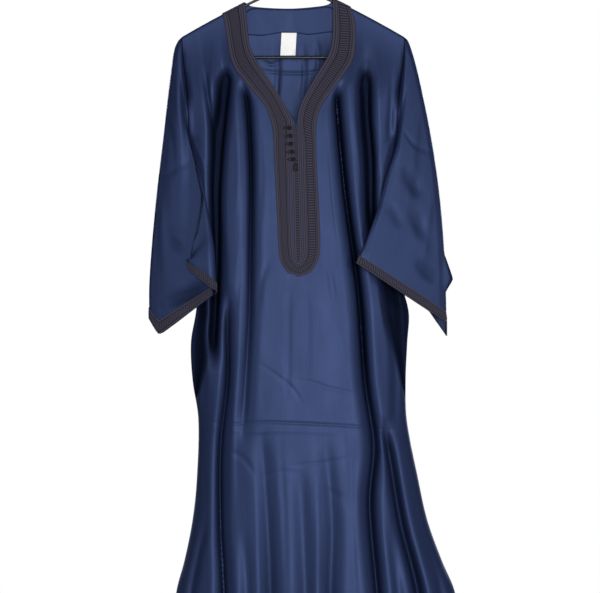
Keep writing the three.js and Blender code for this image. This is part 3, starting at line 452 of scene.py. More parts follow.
def armhole_groove(z, top):
    """Where the cloth is pinched along the armhole's seam."""
    return ease((z - GROOVE_BOTTOM) / 50) * ease((top - z) / 30)


def edge_depth(z, across):
    """How far the cloth stands from y = 0 at the armhole; away from the seam it ends softly."""
    share = np.clip((ARMHOLE_BELLY_Z - z) / (ARMHOLE_BELLY_Z - UNDERARM_Z), 0, 1)
    at_seam = np.sqrt(1 - share ** 3) * (1 - 0.7 * armhole_groove(z, -196))
    inside = (1 - share ** 2) ** 1.5
    near = ease((across - 0.93) / 0.07)
    return SEAM_HALF + ARMHOLE_DEPTH * (inside + (at_seam - inside) * near)


FRONT = {"sign": -1.0, "depth": FRONT_DEPTH, "folds": FRONT_FOLDS, "creases": FRONT_CREASES}
BACK = {"sign": 1.0, "depth": BACK_DEPTH, "folds": BACK_FOLDS, "creases": BACK_CREASES}


def below_bar(z):
    """The share of a fold's depth at a height: the hanger's bar holds the cloth out."""
    return 1 - BAR_TAKES * ease((z - BAR_TAKES_ABOVE) / BAR_FADE)


def least_depth(panel, z):
    """The least that the cloth stands off the hanger's bar, and below it off the other panel."""
    below = LEAST_DEPTH_FRONT if panel is FRONT else LEAST_DEPTH_BACK
    at_bar = HANGER_ROD_RADIUS + BAR_CLEARANCE
    return below + (at_bar - below) * ease((z - BAR_CLEARS_ABOVE) / BAR_FADE)


def seams_at(x, z):
    """The side seams at a height, and how far out x is: 0 half way between them, 1 at a seam."""
    left = body_at(LEFT, z)
    right = body_at(RIGHT, z)
    return left, right, np.clip(np.abs(2 * x - left - right) / (right - left), 0, 1)


def front_hollow_shade(x, z):
    """Painted shade of the front, 0 on the face and 1 in the depths: darker as it lies deeper in
    its folds, at its recessed sides and along the armhole's seam.
    """
    left, right, across = seams_at(x, z)
    folds = fold_depth(FRONT["folds"], x, z)[0] * braid_mask(x, z)
    folds = folds * ease((1 - across) / SEAM_CALM) * below_bar(z)
    # painted shade in the folds, weaker on the skirt
    deep = (np.clip((folds - HOLLOW_SHADE_FROM) / HOLLOW_SHADE_OVER, 0, 1)
            * (1 - SKIRT_OPENNESS * ease((SKIRT_TOP - z) / SKIRT_FADE)))
    # painted shade on the recessed sides under the sleeves
    sides = ease(recess(x, z, left, right) * 2.2)
    # painted shade along the pinched seam of the armhole
    seam = ease((across - 0.955) / 0.045) * armhole_groove(z, -190)
    return np.maximum(np.maximum(deep, sides), SEAM_SHADE * seam)


def panel_points(panel, x, z, creased=True):
    """Points of the cloth's outer face at x and z, as an array with a last axis of x, y, z."""
    top = shoulder_height(x)
    rise = np.clip((z - top + WRAP_HEIGHT) / WRAP_HEIGHT, 0, 1)
    wrap = np.maximum(WRAP_DEPTH * np.sqrt(1 - rise * rise), SEAM_HALF)
    left, right, across = seams_at(x, z)
    bow = (1 - across ** 3) ** 0.62
    edge = edge_depth(z, across)
    shown = ease((1 - across) / SEAM_CALM)
    mask = braid_mask(x, z) if panel is FRONT else 1.0
    folds, aside = fold_depth(panel["folds"], x, z)
    folds = folds * mask * shown * below_bar(z)
    if creased:
        folds = folds + crease_depth(panel["creases"], x, z) * mask * ease((1 - across) / 0.06)
    hanging = edge + (body_at(panel["depth"], z) - edge) * bow - folds
    hanging = np.maximum(hanging, least_depth(panel, z) * np.minimum(shown * 3, 1))
    fall = ease((top - WRAP_HEIGHT - z) / FALL_LENGTH)
    y = panel["sign"] * (wrap + (hanging - wrap) * fall)
    if panel is FRONT:
        back = recess(x, z, left, right)
        y = y * (1 - back) + RECESS_Y * back * ease((1 - across) / 0.1)
    return np.stack([x + aside * mask * shown * below_bar(z) * fall, y, z], axis=-1)


def crowded(t):
    """Shares from 0 to 1 that stand closer together towards 1, the side seam."""
    return (1 - CROWDING) * t + CROWDING * (1 - (1 - t) ** 2)


def edge_x(share, z):
    return np.where(share < 0, body_at(LEFT, z), body_at(RIGHT, z))


# ---- meshes from grids of points ----

def unit(vectors):
    length = np.linalg.norm(vectors, axis=-1, keepdims=True)
    return vectors / np.maximum(length, 1e-9)


def grid_normals(grid, sense, closed=False):
    """Normals of a grid, from the points on each side of every point; sense turns them outwards."""
    if closed:
        across = np.roll(grid, -1, axis=1) - np.roll(grid, 1, axis=1)
    else:
        across = np.gradient(grid, axis=1)
    return unit(np.cross(across, np.gradient(grid, axis=0)) * sense)


def wrapped(grid):
    """A closed grid with its first column once more after the last."""
    return np.concatenate([grid, grid[:, :1]], axis=1)


def cloth_map(grid, closed=False):
    """UV of a grid in metres: the way along each row and down each column of the cloth."""
    if closed:
        grid = wrapped(grid)
    across = np.linalg.norm(np.diff(grid, axis=1), axis=2)
    down = np.linalg.norm(np.diff(grid, axis=0), axis=2)
    u = np.concatenate([np.zeros((len(grid), 1)), np.cumsum(across, axis=1)], axis=1)
    u -= u[:, u.shape[1] // 2:u.shape[1] // 2 + 1]
    v = np.concatenate([np.zeros((1, grid.shape[1])), np.cumsum(down, axis=0)], axis=0)
    return np.stack([u, v], axis=-1) * MM


def quads(a, b, c, d):
    return np.stack([a, b, c, d], axis=-1).reshape(-1, 4)


def make_piece(name, points, faces, corner_map, material):
    """A smooth mesh from points in millimetres, its faces and the UV of every corner."""
    used, order = np.unique(np.asarray(faces), return_inverse=True)
    faces = order.reshape(np.asarray(faces).shape)
    mesh = bpy.data.meshes.new(name)
    mesh.from_pydata((points[used] * MM).tolist(), [], faces.tolist())
    layer = mesh.uv_layers.new(name="cloth")
    layer.data.foreach_set("uv", np.asarray(corner_map, dtype=np.float32).ravel())
    mesh.shade_smooth()
    mesh.materials.append(material)
    piece = bpy.data.objects.new(name, mesh)
    bpy.context.scene.collection.objects.link(piece)
    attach(piece, "root")
    return piece


def shell(name, outer, inner, sense, material, closed=False, gap=None, relief=None, hollow_shade=None,
          inside_shade=None):
    """Closed sheet between two grids. gap is a column with a slit after it, and its open rows;
    relief and the painted shade of the folds are kept on the outer points for the material, and
    the inside faces can get a near-black satin: painted shade inside the sleeves.
    """
    rows, columns = outer.shape[:2]
    layer = rows * columns
    index = np.arange(layer).reshape(rows, columns)
    corners = index.copy()
    mapped = cloth_map(outer, closed)
    if closed:
        index = wrapped(index)
        corners = np.arange(rows * (columns + 1)).reshape(rows, columns + 1)
    strips = [(0, index.shape[1] - 1)]
    if gap:
        column, open_rows = gap
        index[open_rows:, column + 1] = index[open_rows:, column]
        strips = [(0, column), (column + 1, columns - 1)]
    faces = []
    uv_faces = []

    def face_rows(grid, first, last):
        part = grid[:, first:last + 1]
        return quads(part[:-1, :-1], part[1:, :-1], part[1:, 1:], part[:-1, 1:])

    def edge(points, marks):
        faces.append(quads(points[:-1], points[1:], points[1:] + layer, points[:-1] + layer))
        uv_faces.append(quads(marks[:-1], marks[1:], marks[1:], marks[:-1]))

    for first, last in strips:
        faces.append(face_rows(index, first, last))
        uv_faces.append(face_rows(corners, first, last))
        faces.append(face_rows(index, first, last)[:, ::-1] + layer)
        uv_faces.append(face_rows(corners, first, last)[:, ::-1])
        edge(index[0, first:last + 1], corners[0, first:last + 1])
        edge(index[-1, first:last + 1][::-1], corners[-1, first:last + 1][::-1])
    if not closed:
        edge(index[:, 0][::-1], corners[:, 0][::-1])
        edge(index[:, -1], corners[:, -1])
    if gap:
        edge(index[:open_rows + 1, column], corners[:open_rows + 1, column])
        edge(index[:open_rows + 1, column + 1][::-1], corners[:open_rows + 1, column + 1][::-1])
    faces = np.concatenate(faces)
    uv_faces = np.concatenate(uv_faces)
    if sense > 0:
        faces = faces[:, ::-1]
        uv_faces = uv_faces[:, ::-1]
    points = np.concatenate([outer.reshape(-1, 3), inner.reshape(-1, 3)])
    piece = make_piece(name, points, faces, mapped.reshape(-1, 2)[uv_faces.ravel()], material)
    for label, values in (("relief", relief), ("hollow_shade", hollow_shade)):
        if values is not None:
            both = np.concatenate([values.ravel(), 0 * values.ravel()])
            kept = piece.data.attributes.new(label, "FLOAT", "POINT")
            kept.data.foreach_set("value", both[np.unique(faces)].astype(np.float32))
    # the inside faces get the near-black satin: painted shade inside the sleeves
    if inside_shade is not None:
        piece.data.materials.append(inside_shade)
        inside = (faces >= layer).all(axis=1)
        piece.data.polygons.foreach_set("material_index", inside.astype(np.int32))
    return piece


def tube(name, path, radius, sides, material, closed=False, flatten=1.0):
    """Round cord or rod along a path of points; flatten thins it along Y."""
    path = np.asarray(path, dtype=float)
    if closed:
        along_path = unit(np.roll(path, -1, axis=0) - np.roll(path, 1, axis=0))
    else:
        along_path = unit(np.gradient(path, axis=0))
    side = unit(np.cross(along_path, (0.0, 1.0, 0.0)))
    other = np.cross(side, along_path)
    turn = np.linspace(0, 2 * np.pi, sides, endpoint=False)[None, :, None]
    rings = path[:, None] + radius * (np.cos(turn) * side[:, None]
                                      + flatten * np.sin(turn) * other[:, None])
    if closed:
        rings = np.concatenate([rings, rings[:1]])
    return round_piece(name, rings, material, closed)


def round_piece(name, rings, material, closed=False, order=(0, 1, 2, 3)):
    """A piece from rings of points. Its last ring is its first if closed, or its ends are shut;
    order is that of the corners of each face."""
    count, sides = rings.shape[:2]
    index = np.arange(count * sides).reshape(count, sides)
    if closed:
        index[-1] = index[0]
    marks = np.arange(count * (sides + 1)).reshape(count, sides + 1)
    faces, corners = (quads(part[:-1, :-1], part[:-1, 1:], part[1:, 1:], part[1:, :-1])[:, order]
                      for part in (wrapped(index), marks))
    corner_map = cloth_map(rings, True).reshape(-1, 2)[corners.ravel()]
    piece = make_piece(name, rings.reshape(-1, 3), faces, corner_map, material)
    if not closed:
        close_ends(piece)
    return piece


def close_ends(piece):
    shape = bmesh.new()
    shape.from_mesh(piece.data)
    open_edges = [edge for edge in shape.edges if edge.is_boundary]
    bmesh.ops.holes_fill(shape, edges=open_edges, sides=0)
    bmesh.ops.recalc_face_normals(shape, faces=shape.faces)
    shape.to_mesh(piece.data)
    shape.free()


# ---- front and back ----

SLIT_END = -604.0
LEFT_OPENING = NECK_LEFT + [(6, -354), (8, -370), (8.85, -400), (8.85, -500), (8.85, -600),
                            (9, -606), (9, -700), (9, HEM_Z)]
RIGHT_OPENING = NECK_RIGHT + [(7.4, -354), (8.6, -370), (9.15, -400), (9.15, -500),
                              (9.15, -600), (9, -606), (9, -700), (9, HEM_Z)]


# The front's rows stand closer over the lap, where its finest creases are
BODY_ROWS = (0, 68, 104, 132, 164, 210)
BODY_ROW_HEIGHTS = (UNDERARM_Z, -780.0, -895.0, -937.0, -1040.0, HEM_Z)


def half_panel(opening, side, counts):
    """Grid of x and z from the opening's edge or the centre line out to the side seam."""
    columns, armhole_rows, body_rows = counts
    shares = crowded(np.linspace(0, 1, columns + 1))
    opening_z = [point[1] for point in opening]
    opening_x = [point[0] for point in opening]
    seam_column = LEFT if side < 0 else RIGHT
    neck_x = float(along(opening_z, opening_x, -118.0))
    x_rows = []
    z_rows = []

    def add_row(turned, share):
        start = shoulder_height(neck_x + (side * SHOULDER_X - neck_x) * shares) - turned
        z = start + (UNDERARM_Z - start) * share
        inner_x = along(opening_z, opening_x, z[0])
        seam_x = body_at(seam_column, z[-1])
        x_rows.append(inner_x + (seam_x - inner_x) * shares)
        z_rows.append(z)

    for angle in np.linspace(0, np.pi / 2, WRAP_ROWS):
        add_row(WRAP_HEIGHT * (1 - np.cos(angle)), 0.0)
    for share in np.linspace(0, 1, armhole_rows + 1)[1:]:
        add_row(WRAP_HEIGHT, share)
    for z in np.interp(np.arange(1, body_rows + 1), BODY_ROWS, BODY_ROW_HEIGHTS):
        inner_x = along(opening_z, opening_x, z)
        x_rows.append(inner_x + (body_at(seam_column, z) - inner_x) * shares)
        z_rows.append(np.full_like(shares, z))
    return np.array(x_rows), np.array(z_rows)


def panel_shell(name, panel, grid, material, gap=None, hollow_shade=None):
    normals = grid_normals(grid, panel["sign"])
    if gap:
        middle = unit(normals[:, gap[0]] + normals[:, gap[0] + 1])
        normals[:, gap[0]] = middle
        normals[:, gap[0] + 1] = middle
    for column in (0, -1):
        normals[:, column, 0] = 0
    normals = unit(normals)
    return shell(name, grid, grid - CLOTH_SHOWN * normals, panel["sign"], material, gap=gap,
                 hollow_shade=hollow_shade)


def make_front(material):
    counts = (FRONT_HALF_COLUMNS, FRONT_ARMHOLE_ROWS, BODY_ROWS[-1])
    left = half_panel(LEFT_OPENING, -1, counts)
    right = half_panel(RIGHT_OPENING, 1, counts)
    x, z = (np.concatenate([one[:, ::-1], other], axis=1) for one, other in zip(left, right))
    grid = panel_points(FRONT, x, z)
    column = left[0].shape[1] - 1
    open_rows = int(np.searchsorted(-grid[:, column, 2], -SLIT_END))
    grid[open_rows:, column + 1] = grid[open_rows:, column]
    return panel_shell("front_cloth", FRONT, grid, material, (column, open_rows),
                       front_hollow_shade(x, z)), grid


def back_neck_z(x):
    line = smooth_path(BACK_NECK, 200)
    return np.interp(x, line[:, 0], line[:, 1])


def make_back(material):
    """The back's columns start at the neckline, and beside it at the shoulder."""
    t = np.linspace(-1, 1, BACK_COLUMNS + 1)
    shares = np.sign(t) * crowded(np.abs(t))
    x_rows = []
    z_rows = []

    def add_row(angle, share):
        turned = WRAP_HEIGHT * (1 - math.cos(angle))
        top_x = SHOULDER_X * shares
        start = np.minimum(shoulder_height(top_x) - turned, np.where(
            np.abs(top_x + 7) < 86, back_neck_z(top_x) - 0.02 * turned, 0.0))
        z = start + (UNDERARM_Z - start) * share
        seam_x = edge_x(shares, np.where(shares < 0, z[0], z[-1]))
        x_rows.append(seam_x * np.abs(shares))
        z_rows.append(z)

    for angle in np.linspace(0, np.pi / 2, WRAP_ROWS):
        add_row(angle, 0.0)
    for share in np.linspace(0, 1, BACK_ARMHOLE_ROWS + 1)[1:]:
        add_row(np.pi / 2, share)
    for z in np.linspace(UNDERARM_Z, HEM_Z, BACK_BODY_ROWS + 1)[1:]:
        heights = np.full_like(shares, z)
        middle = (body_at(LEFT, heights) + body_at(RIGHT, heights)) / 2
        half = (body_at(RIGHT, heights) - body_at(LEFT, heights)) / 2
        x_rows.append(middle + half * shares)
        z_rows.append(heights)
    grid = panel_points(BACK, np.array(x_rows), np.array(z_rows))
    return panel_shell("back_cloth", BACK, grid, material), grid


# ---- braid ----

WRAP_ARC = 8.07

# outer x and z, inner x and z of the band at each station; None is the shoulder seam
BRAID_LEFT = [
    (-134, None, -91, None), (-129, -160, -87, -152), (-124, -189, -84, -184),
    (-118, -223, -79, -208), (-108, -247, -69, -229), (-90, -270, -57, -249),
    (-71, -293, -43, -269), (-52, -317, -27, -294), (-43, -340, -12, -321),
    (-38, -362, 0, -345), (-36, -388, -3.4, -384), (-35, -415, -4, -415),
    (-31, -491, -3, -491), (-28, -557, -2, -557), (-25, -598, 0, -590), (-18, -617, 2.2, -601),
    (-7, -630, 5, -608), (8.7, -636.5, 8.7, -611),
]
BRAID_RIGHT = [
    (108, None, 75, None), (116, -148, 75, -144), (118.5, -172, 75, -170),
    (118, -200, 72, -200), (112, -230, 66, -220), (96, -256, 56, -238), (77, -283, 43, -260),
    (60, -306, 28, -286), (48, -330, 16, -311), (43.5, -358, 9, -340), (43.5, -386, 15, -380),
    (44, -415, 16, -415), (48, -491, 17.5, -491), (51, -567, 19.5, -567), (49, -598, 19, -591),
    (41, -617, 16.4, -602), (29, -630, 13.5, -608.5), (9.3, -636.5, 9.3, -611),
]
BRAID_BACK = [
    (-134, None, -91, None), (-126, -150, -86, -120), (-102, -161, -74, -124.5),
    (-66, -165, -44, -127), (0, -168, 0, -127.5), (52, -164, 38, -125), (84, -154, 60, -122),
    (101, -141, 71, -117), (108, None, 75, None),
]
PLACKET = [
    (2.5, -349, 6.5, -349), (-1, -362, 11.5, -362), (-3, -384, 14.4, -384),
    (-3.4, -415, 15.4, -415), (-1.6, -500, 17.2, -500), (0.4, -585, 19, -585),
    (3, -600, 16, -600), (6.5, -609, 12.2, -609),
]
FRONT_STRIPS = [(0.17, "plait"), (0.24, "cord"), (0.70, "rib"), (0.77, "cord"),
                (0.88, "cord"), (1.0, "cord")]
BACK_STRIPS = [(0.2, "plait"), (0.27, "cord"), (0.72, "rib"), (0.8, "cord"), (1.0, "cord")]
CUFF_STRIPS = [(0.14, "cord"), (0.86, "rib"), (1.0, "cord")]
CUFF_WIDTH = 18.0
CUFF_FLAP_WIDER = 10.0
CUFF_LIFT = 0.3
CUFF_FLATTER = 0.62
BAND_THICKNESS = 0.9
PLACKET_STRIPS = [(0.18, "cord"), (0.36, "cord"), (0.64, "rib"), (0.82, "cord"), (1.0, "cord")]
STRIP_COLUMNS = {"cord": 5, "plait": 7, "rib": 8}


# piece, node, panel, stations, strips, spacing of rows, slant of the ribs, and sense
BANDS = [
    ("braid_cloth_left", "braid_left", FRONT, BRAID_LEFT, FRONT_STRIPS, 0.85, 1.0, -1.0),
    ("braid_cloth_right", "braid_right", FRONT, BRAID_RIGHT, FRONT_STRIPS, 0.85, 0.0, 1.0),
    ("placket_cloth", "placket", FRONT, PLACKET, PLACKET_STRIPS, 0.9, 0.0, -1.0),
    ("braid_cloth_back", "braid_back", BACK, BRAID_BACK, BACK_STRIPS, 0.95, 0.6, 1.0),
]


def station_points(stations):
    """Stations as outer and inner points of x and the way down the cloth from the shoulder."""
    points = []
    for outer_x, outer_z, inner_x, inner_z in stations:
        row = []
        for x, z in ((outer_x, outer_z), (inner_x, inner_z)):
            top = float(shoulder_height(x))
            row += [x, 0.0 if z is None else max(top - WRAP_HEIGHT - z + WRAP_ARC, 0.0)]
        points.append(row)
    return points


def cloth_point(panel, x, way):
    """Points of the cloth at x, a way down it from the shoulder seam."""
    top = shoulder_height(x)
    angle = np.clip(way / WRAP_ARC, 0, 1) * np.pi / 2
    over = top - WRAP_HEIGHT * (1 - np.cos(angle))
    below = top - WRAP_HEIGHT - (way - WRAP_ARC)
    return panel_points(panel, x, np.where(way < WRAP_ARC, over, below), creased=False)


def strip_columns(strips):
    """Where the columns of a band stand across it, from 0 to 1."""
    shares = [0.0]
    start = 0.0
    for end, kind in strips:
        count = STRIP_COLUMNS[kind]
        shares += (start + (end - start) * np.linspace(0, 1, count + 1)[1:]).tolist()
        start = end
    return np.array(shares)


def braid_height(strips, across, way, width, slant):
    """Height of the braid's face over the cloth, across the band and along its way."""
    height = np.full_like(way, BAND_THICKNESS)
    start = 0.0
    for end, kind in strips:
        inside = (across >= start) & (across <= end)
        f = (across - start) / (end - start)
        crown = np.sqrt(np.clip(1 - (2 * f - 1) ** 2, 0, 1))
        if kind == "cord":
            rise = 0.9 * crown * (1 + 0.1 * np.cos(2 * np.pi * (way + 3 * f) / TWIST_PITCH))
        elif kind == "plait":
            chevron = np.cos(2 * np.pi * (way + 7 * np.abs(f - 0.5)) / PLAIT_PITCH)
            rise = crown ** 0.6 * (0.75 + 0.2 * chevron)
        else:
            lean = slant * f * (end - start) * width
            wave = 0.5 + 0.5 * np.cos(2 * np.pi * (way + lean) / RIB_PITCH)
            rise = 0.1 + 0.75 * wave ** 0.8 * np.minimum(crown * 2.2, 1)
        height = np.where(inside, BAND_THICKNESS + rise, height)
        start = end
    return height


def make_band(name, panel, stations, strips, spacing, slant, material, sense):
    """A braid laid on a panel along its stations."""
    stations = np.array(station_points(stations))
    dense = smooth_path(stations, 400)
    middle = (dense[:, :2] + dense[:, 2:]) / 2
    run = np.concatenate([[0], np.cumsum(np.linalg.norm(np.diff(middle, axis=0), axis=1))])
    rows = int(run[-1] / spacing) + 1
    at = np.linspace(0, run[-1], rows)
    line = np.stack([np.interp(at, run, dense[:, i]) for i in range(4)], axis=1)
    across = strip_columns(strips)[None, :]
    x = line[:, 0:1] * (1 - across) + line[:, 2:3] * across
    way = line[:, 1:2] * (1 - across) + line[:, 3:4] * across
    base = cloth_point(panel, x, way)
    normals = grid_normals(base, sense)
    width = np.linalg.norm(base[:, -1] - base[:, 0], axis=1)[:, None]
    along_band = np.repeat(at[:, None], across.shape[1], axis=1)
    height = braid_height(strips, np.repeat(across, rows, axis=0), along_band, width, slant)
    face = base + normals * (BRAID_LIFT + height)[:, :, None]
    under = base + normals * BRAID_LIFT
    return shell(name, face, under, sense, material,
                 relief=(height - BAND_THICKNESS) / BAND_THICKNESS)


# ---- sleeves ----

PUFF, NIP, TURN, FLAP, LIFT, SAG = range(6, 12)
# Steps round a ring: before the bend, in it and on the flap; points to a step; rows to a ring
SPINE_STEPS = (5, 4, 2)
LOOP_STEPS = sum(SPINE_STEPS)
FINE = 6
RING_ROWS = 9
# Creases of the sleeves seen from the front, as (x, z), half width and depth; their depth also sets
# painted shade
SLEEVE_CREASES = [
    ([(-256, -452), (-225, -438), (-192, -418)], 4, 1.6),
    ([(-262, -560), (-232, -548), (-205, -556)], 9, 1.1),
    ([(-240, -330), (-225, -390), (-222, -460)], 8, 1.3),
    ([(-215, -250), (-212, -330), (-207, -400)], 7, -1.3),
    ([(-250, -480), (-244, -560), (-242, -640)], 9, -1.4),
    ([(208, -362), (228, -388), (264, -404)], 4, 1.8),
    ([(206, -428), (221, -457), (240, -486)], 14, 3.2),
    ([(224, -510), (238, -542), (256, -572)], 15, 3.2),
    ([(180, -500), (191, -521), (203, -544)], 12, 2.0),
    ([(232, -606), (251, -627), (272, -644)], 13, 3.0),
    # light seam line beside the inner edge
    ([(204, -384), (186, -440), (168, -500), (150, -556)], 4, -1.0),
    # shaded hollow between the two bands of the turned-back cuff
    ([(-240, -690), (-212, -676), (-180, -662), (-154, -648)], 15, 6.0),
    ([(-236, -560), (-222, -574), (-206, -590)], 11, 3.0),
    ([(206, -300), (204, -380), (196, -450)], 7, -1.3),
    ([(246, -330), (236, -430), (222, -520)], 9, 1.4),
    ([(262, -470), (252, -540), (244, -620)], 9, -1.4),
]


def ring_spine(rings, k):
    """Centre points of one ring, from its outer fold to the end of the flap, and their angles."""
    ring = rings[k]
    turn = math.radians(ring[TURN])
    top = np.array([ring[0], ring[2], ring[1]], dtype=float)
    edge = np.array([ring[3], ring[5], ring[4]], dtype=float)
    before = rings[max(k - 1, 0)]
    after = rings[min(k + 1, len(rings) - 1)]
    fold = unit(np.array([after[3] - before[3], after[5] - before[5], after[4] - before[4]],
                         dtype=float))
    chord = edge - top
    length = np.linalg.norm(chord)
    inward = chord / length
    backward = unit(np.array([0, 1, 0]) - inward * inward[1])
    held = fold * inward.dot(fold)
    swung = inward - held
    swing = np.linalg.norm(swung)
    flat = length
    sections = [(LOOP_STEPS, length, 0)]
    if turn > 0:
        flat = length - SLEEVE_BEND_LENGTH / turn * math.sin(min(turn, math.pi / 2))
        lengths = (flat, SLEEVE_BEND_LENGTH, ring[FLAP])
        sections = list(zip(SPINE_STEPS, lengths, (0, 1, 0)))
    points = [top]
    angles = [0.0]
    for count, section_length, bends in sections:
        steps = count * FINE
        for _ in range(steps):
            angle = angles[-1] + bends * turn / steps / 2
            direction = held + swung * math.cos(angle) - backward * swing * math.sin(angle)
            points.append(points[-1] + direction * section_length / steps)
            angles.append(angles[-1] + bends * turn / steps)
    angles = np.array(angles)[:, None]
    normals = backward * np.cos(angles) + swung / swing * np.sin(angles)
    return np.array(points), normals, flat, sum(section[1] for section in sections)


def ring_loop(rings, k):
    """One ring of points: up the rear layer of the sleeve and back along its face."""
    ring = rings[k]
    points, normals, flat, total = ring_spine(rings, k)
    walked = np.concatenate([[0], np.cumsum(np.linalg.norm(np.diff(points, axis=0), axis=1))])
    s = walked / total
    end_round = np.sqrt(np.clip(np.minimum(s, 1 - s) / 0.09, 0, 1))
    turned = ring[TURN] > 0
    puff_share = np.sin(np.pi * s)
    bend_share = np.zeros_like(s)
    if turned:
        puff_share = np.sin(np.pi * np.clip(walked / (0.75 * flat), 0, 1)) ** 2
        bend_share = np.clip((walked - flat) / (total - flat), 0, 1)
    nip, puff = ring[NIP], ring[PUFF]
    thick = (nip + (puff - nip) * puff_share) * end_round
    sag_share = np.minimum(s / SLEEVE_SAG_PEAK, 1) * np.clip(1 - walked / flat, 0, 1)
    points[:, 2] += ring[LIFT] * bend_share - ring[SAG] * sag_share
    rear = points + normals * thick[:, None]
    face = points - normals * thick[:, None]
    return np.concatenate([rear, face[-2:0:-1]])


def armhole_loop(side):
    """The armhole's edge as the sleeve's first ring: up the back, and down the front."""
    knots = np.linspace(0, LOOP_STEPS, LOOP_STEPS * FINE + 1)
    shares = [0.0, 0.1, 0.24, 0.38, 0.52, 0.66, 0.79, 0.89, 0.965, 1.0]
    angle = np.interp(knots, [0, 1, 2], [0, np.pi / 4, np.pi / 2])
    share = np.interp(knots, range(2, 12), shares)
    turned = WRAP_HEIGHT * (1 - np.cos(angle))
    start = shoulder_height(SHOULDER_X) - turned
    z = start + (UNDERARM_Z - start) * share
    x = body_at(LEFT if side < 0 else RIGHT, z)
    rear = panel_points(BACK, x, z)
    face = panel_points(FRONT, x, z)
    rear[0, 1] = rear[-1, 1] = 0
    loop = np.concatenate([rear, face[-2:0:-1]])
    loop[:, 0] += side * 0.3
    return loop


def sleeve_grid(side, rings):
    """Rows of points down the sleeve, how far down each ring is, and how far down each row."""
    loops = np.array([armhole_loop(side)] + [ring_loop(rings, k) for k in range(len(rings))])
    steps = np.linalg.norm(np.diff(loops, axis=0), axis=2).mean(axis=1)
    station = np.concatenate([[0], np.cumsum(steps)])
    rows = np.concatenate([np.linspace(a, b, RING_ROWS, endpoint=False)
                           for a, b in zip(station, station[1:])] + [[station[-1]]])
    flat = loops.reshape(len(loops), -1)
    slope = np.empty_like(flat)
    slope[1:-1] = (flat[2:] - flat[:-2]) / (station[2:] - station[:-2])[:, None]
    slope[0] = (flat[1] - flat[0]) / steps[0]
    slope[-1] = (flat[-1] - flat[-2]) / steps[-1]
    k = np.clip(np.searchsorted(station, rows, side="right") - 1, 0, len(loops) - 2)
    span = (station[k + 1] - station[k])[:, None]
    points = between((rows - station[k])[:, None] / span, span, flat[k], flat[k + 1], slope[k],
                     slope[k + 1])
    return points.reshape(len(rows), -1, 3), station, rows


def pull_corners(grid):
    """The right sleeve's rear layer: a corner standing out at its fold, and a longer end."""
    steps = np.arange(grid.shape[1])
    rear = np.exp(-(steps / 7) ** 2) + np.exp(-((grid.shape[1] - steps) / 1.2) ** 2)
    z = grid[:, :, 2]
    reach = np.minimum((REAR_CORNER_TOP - z) / 46, (z - REAR_CORNER_BOTTOM) / 22)
    out = REAR_CORNER_OUT * np.clip(reach, 0, 1)
    half = grid.shape[1] // 2
    outer = np.clip((grid[:, :, 0] - 256) / 32, 0, 1) * (steps <= half)
    end = ease((np.arange(len(grid)) - len(grid) + 16) / 15)[:, None]
    grid[:, :, 0] += out * rear[None, :]
    grid[:, :, 2] -= REAR_TIP_LONGER * outer * end


def creased_sleeve(grid, normals):
    """The sleeve with its creases, and the painted shade from how deep each point lies in them and
    near the armhole.
    """
    depth = crease_depth(SLEEVE_CREASES, grid[:, :, 0], grid[:, :, 2])
    front_layer = np.clip(-normals[:, :, 1] * 2, 0, 1)
    fade = np.ones(len(grid))
    fade[:SLEEVE_FADE_ROWS] = np.linspace(0, 1, SLEEVE_FADE_ROWS)
    depth = depth * front_layer * fade[:, None]
    hollow_shade = np.clip(depth / SLEEVE_SHADE_DEPTH, 0, SLEEVE_SHADE_MOST)
    # painted shade where the sleeve meets the armhole
    armhole_shade = np.linspace(SLEEVE_SHADE_MOST, 0, ARMHOLE_SHADE_ROWS)[:, None]
    hollow_shade[:ARMHOLE_SHADE_ROWS] = np.maximum(hollow_shade[:ARMHOLE_SHADE_ROWS], armhole_shade)
    return grid - normals * depth[:, :, None], hollow_shade


def make_sleeve(name, side, rings, cloth, inside_shade, yarn):
    grid, station, rows = sleeve_grid(side, rings)
    if side > 0:
        pull_corners(grid)
    normals = grid_normals(grid, -side, closed=True)
    normals[0, :, 0] = 0
    normals = unit(normals)
    grid, hollow_shade = creased_sleeve(grid, normals)
    sleeve = shell(f"sleeve_cloth_{name}", grid, grid - CLOTH_SHOWN * normals, -side, cloth,
                   closed=True, hollow_shade=hollow_shade, inside_shade=inside_shade)
    cuff = make_cuff(name, side, grid, normals, station, rows, yarn)
    return sleeve, cuff, grid


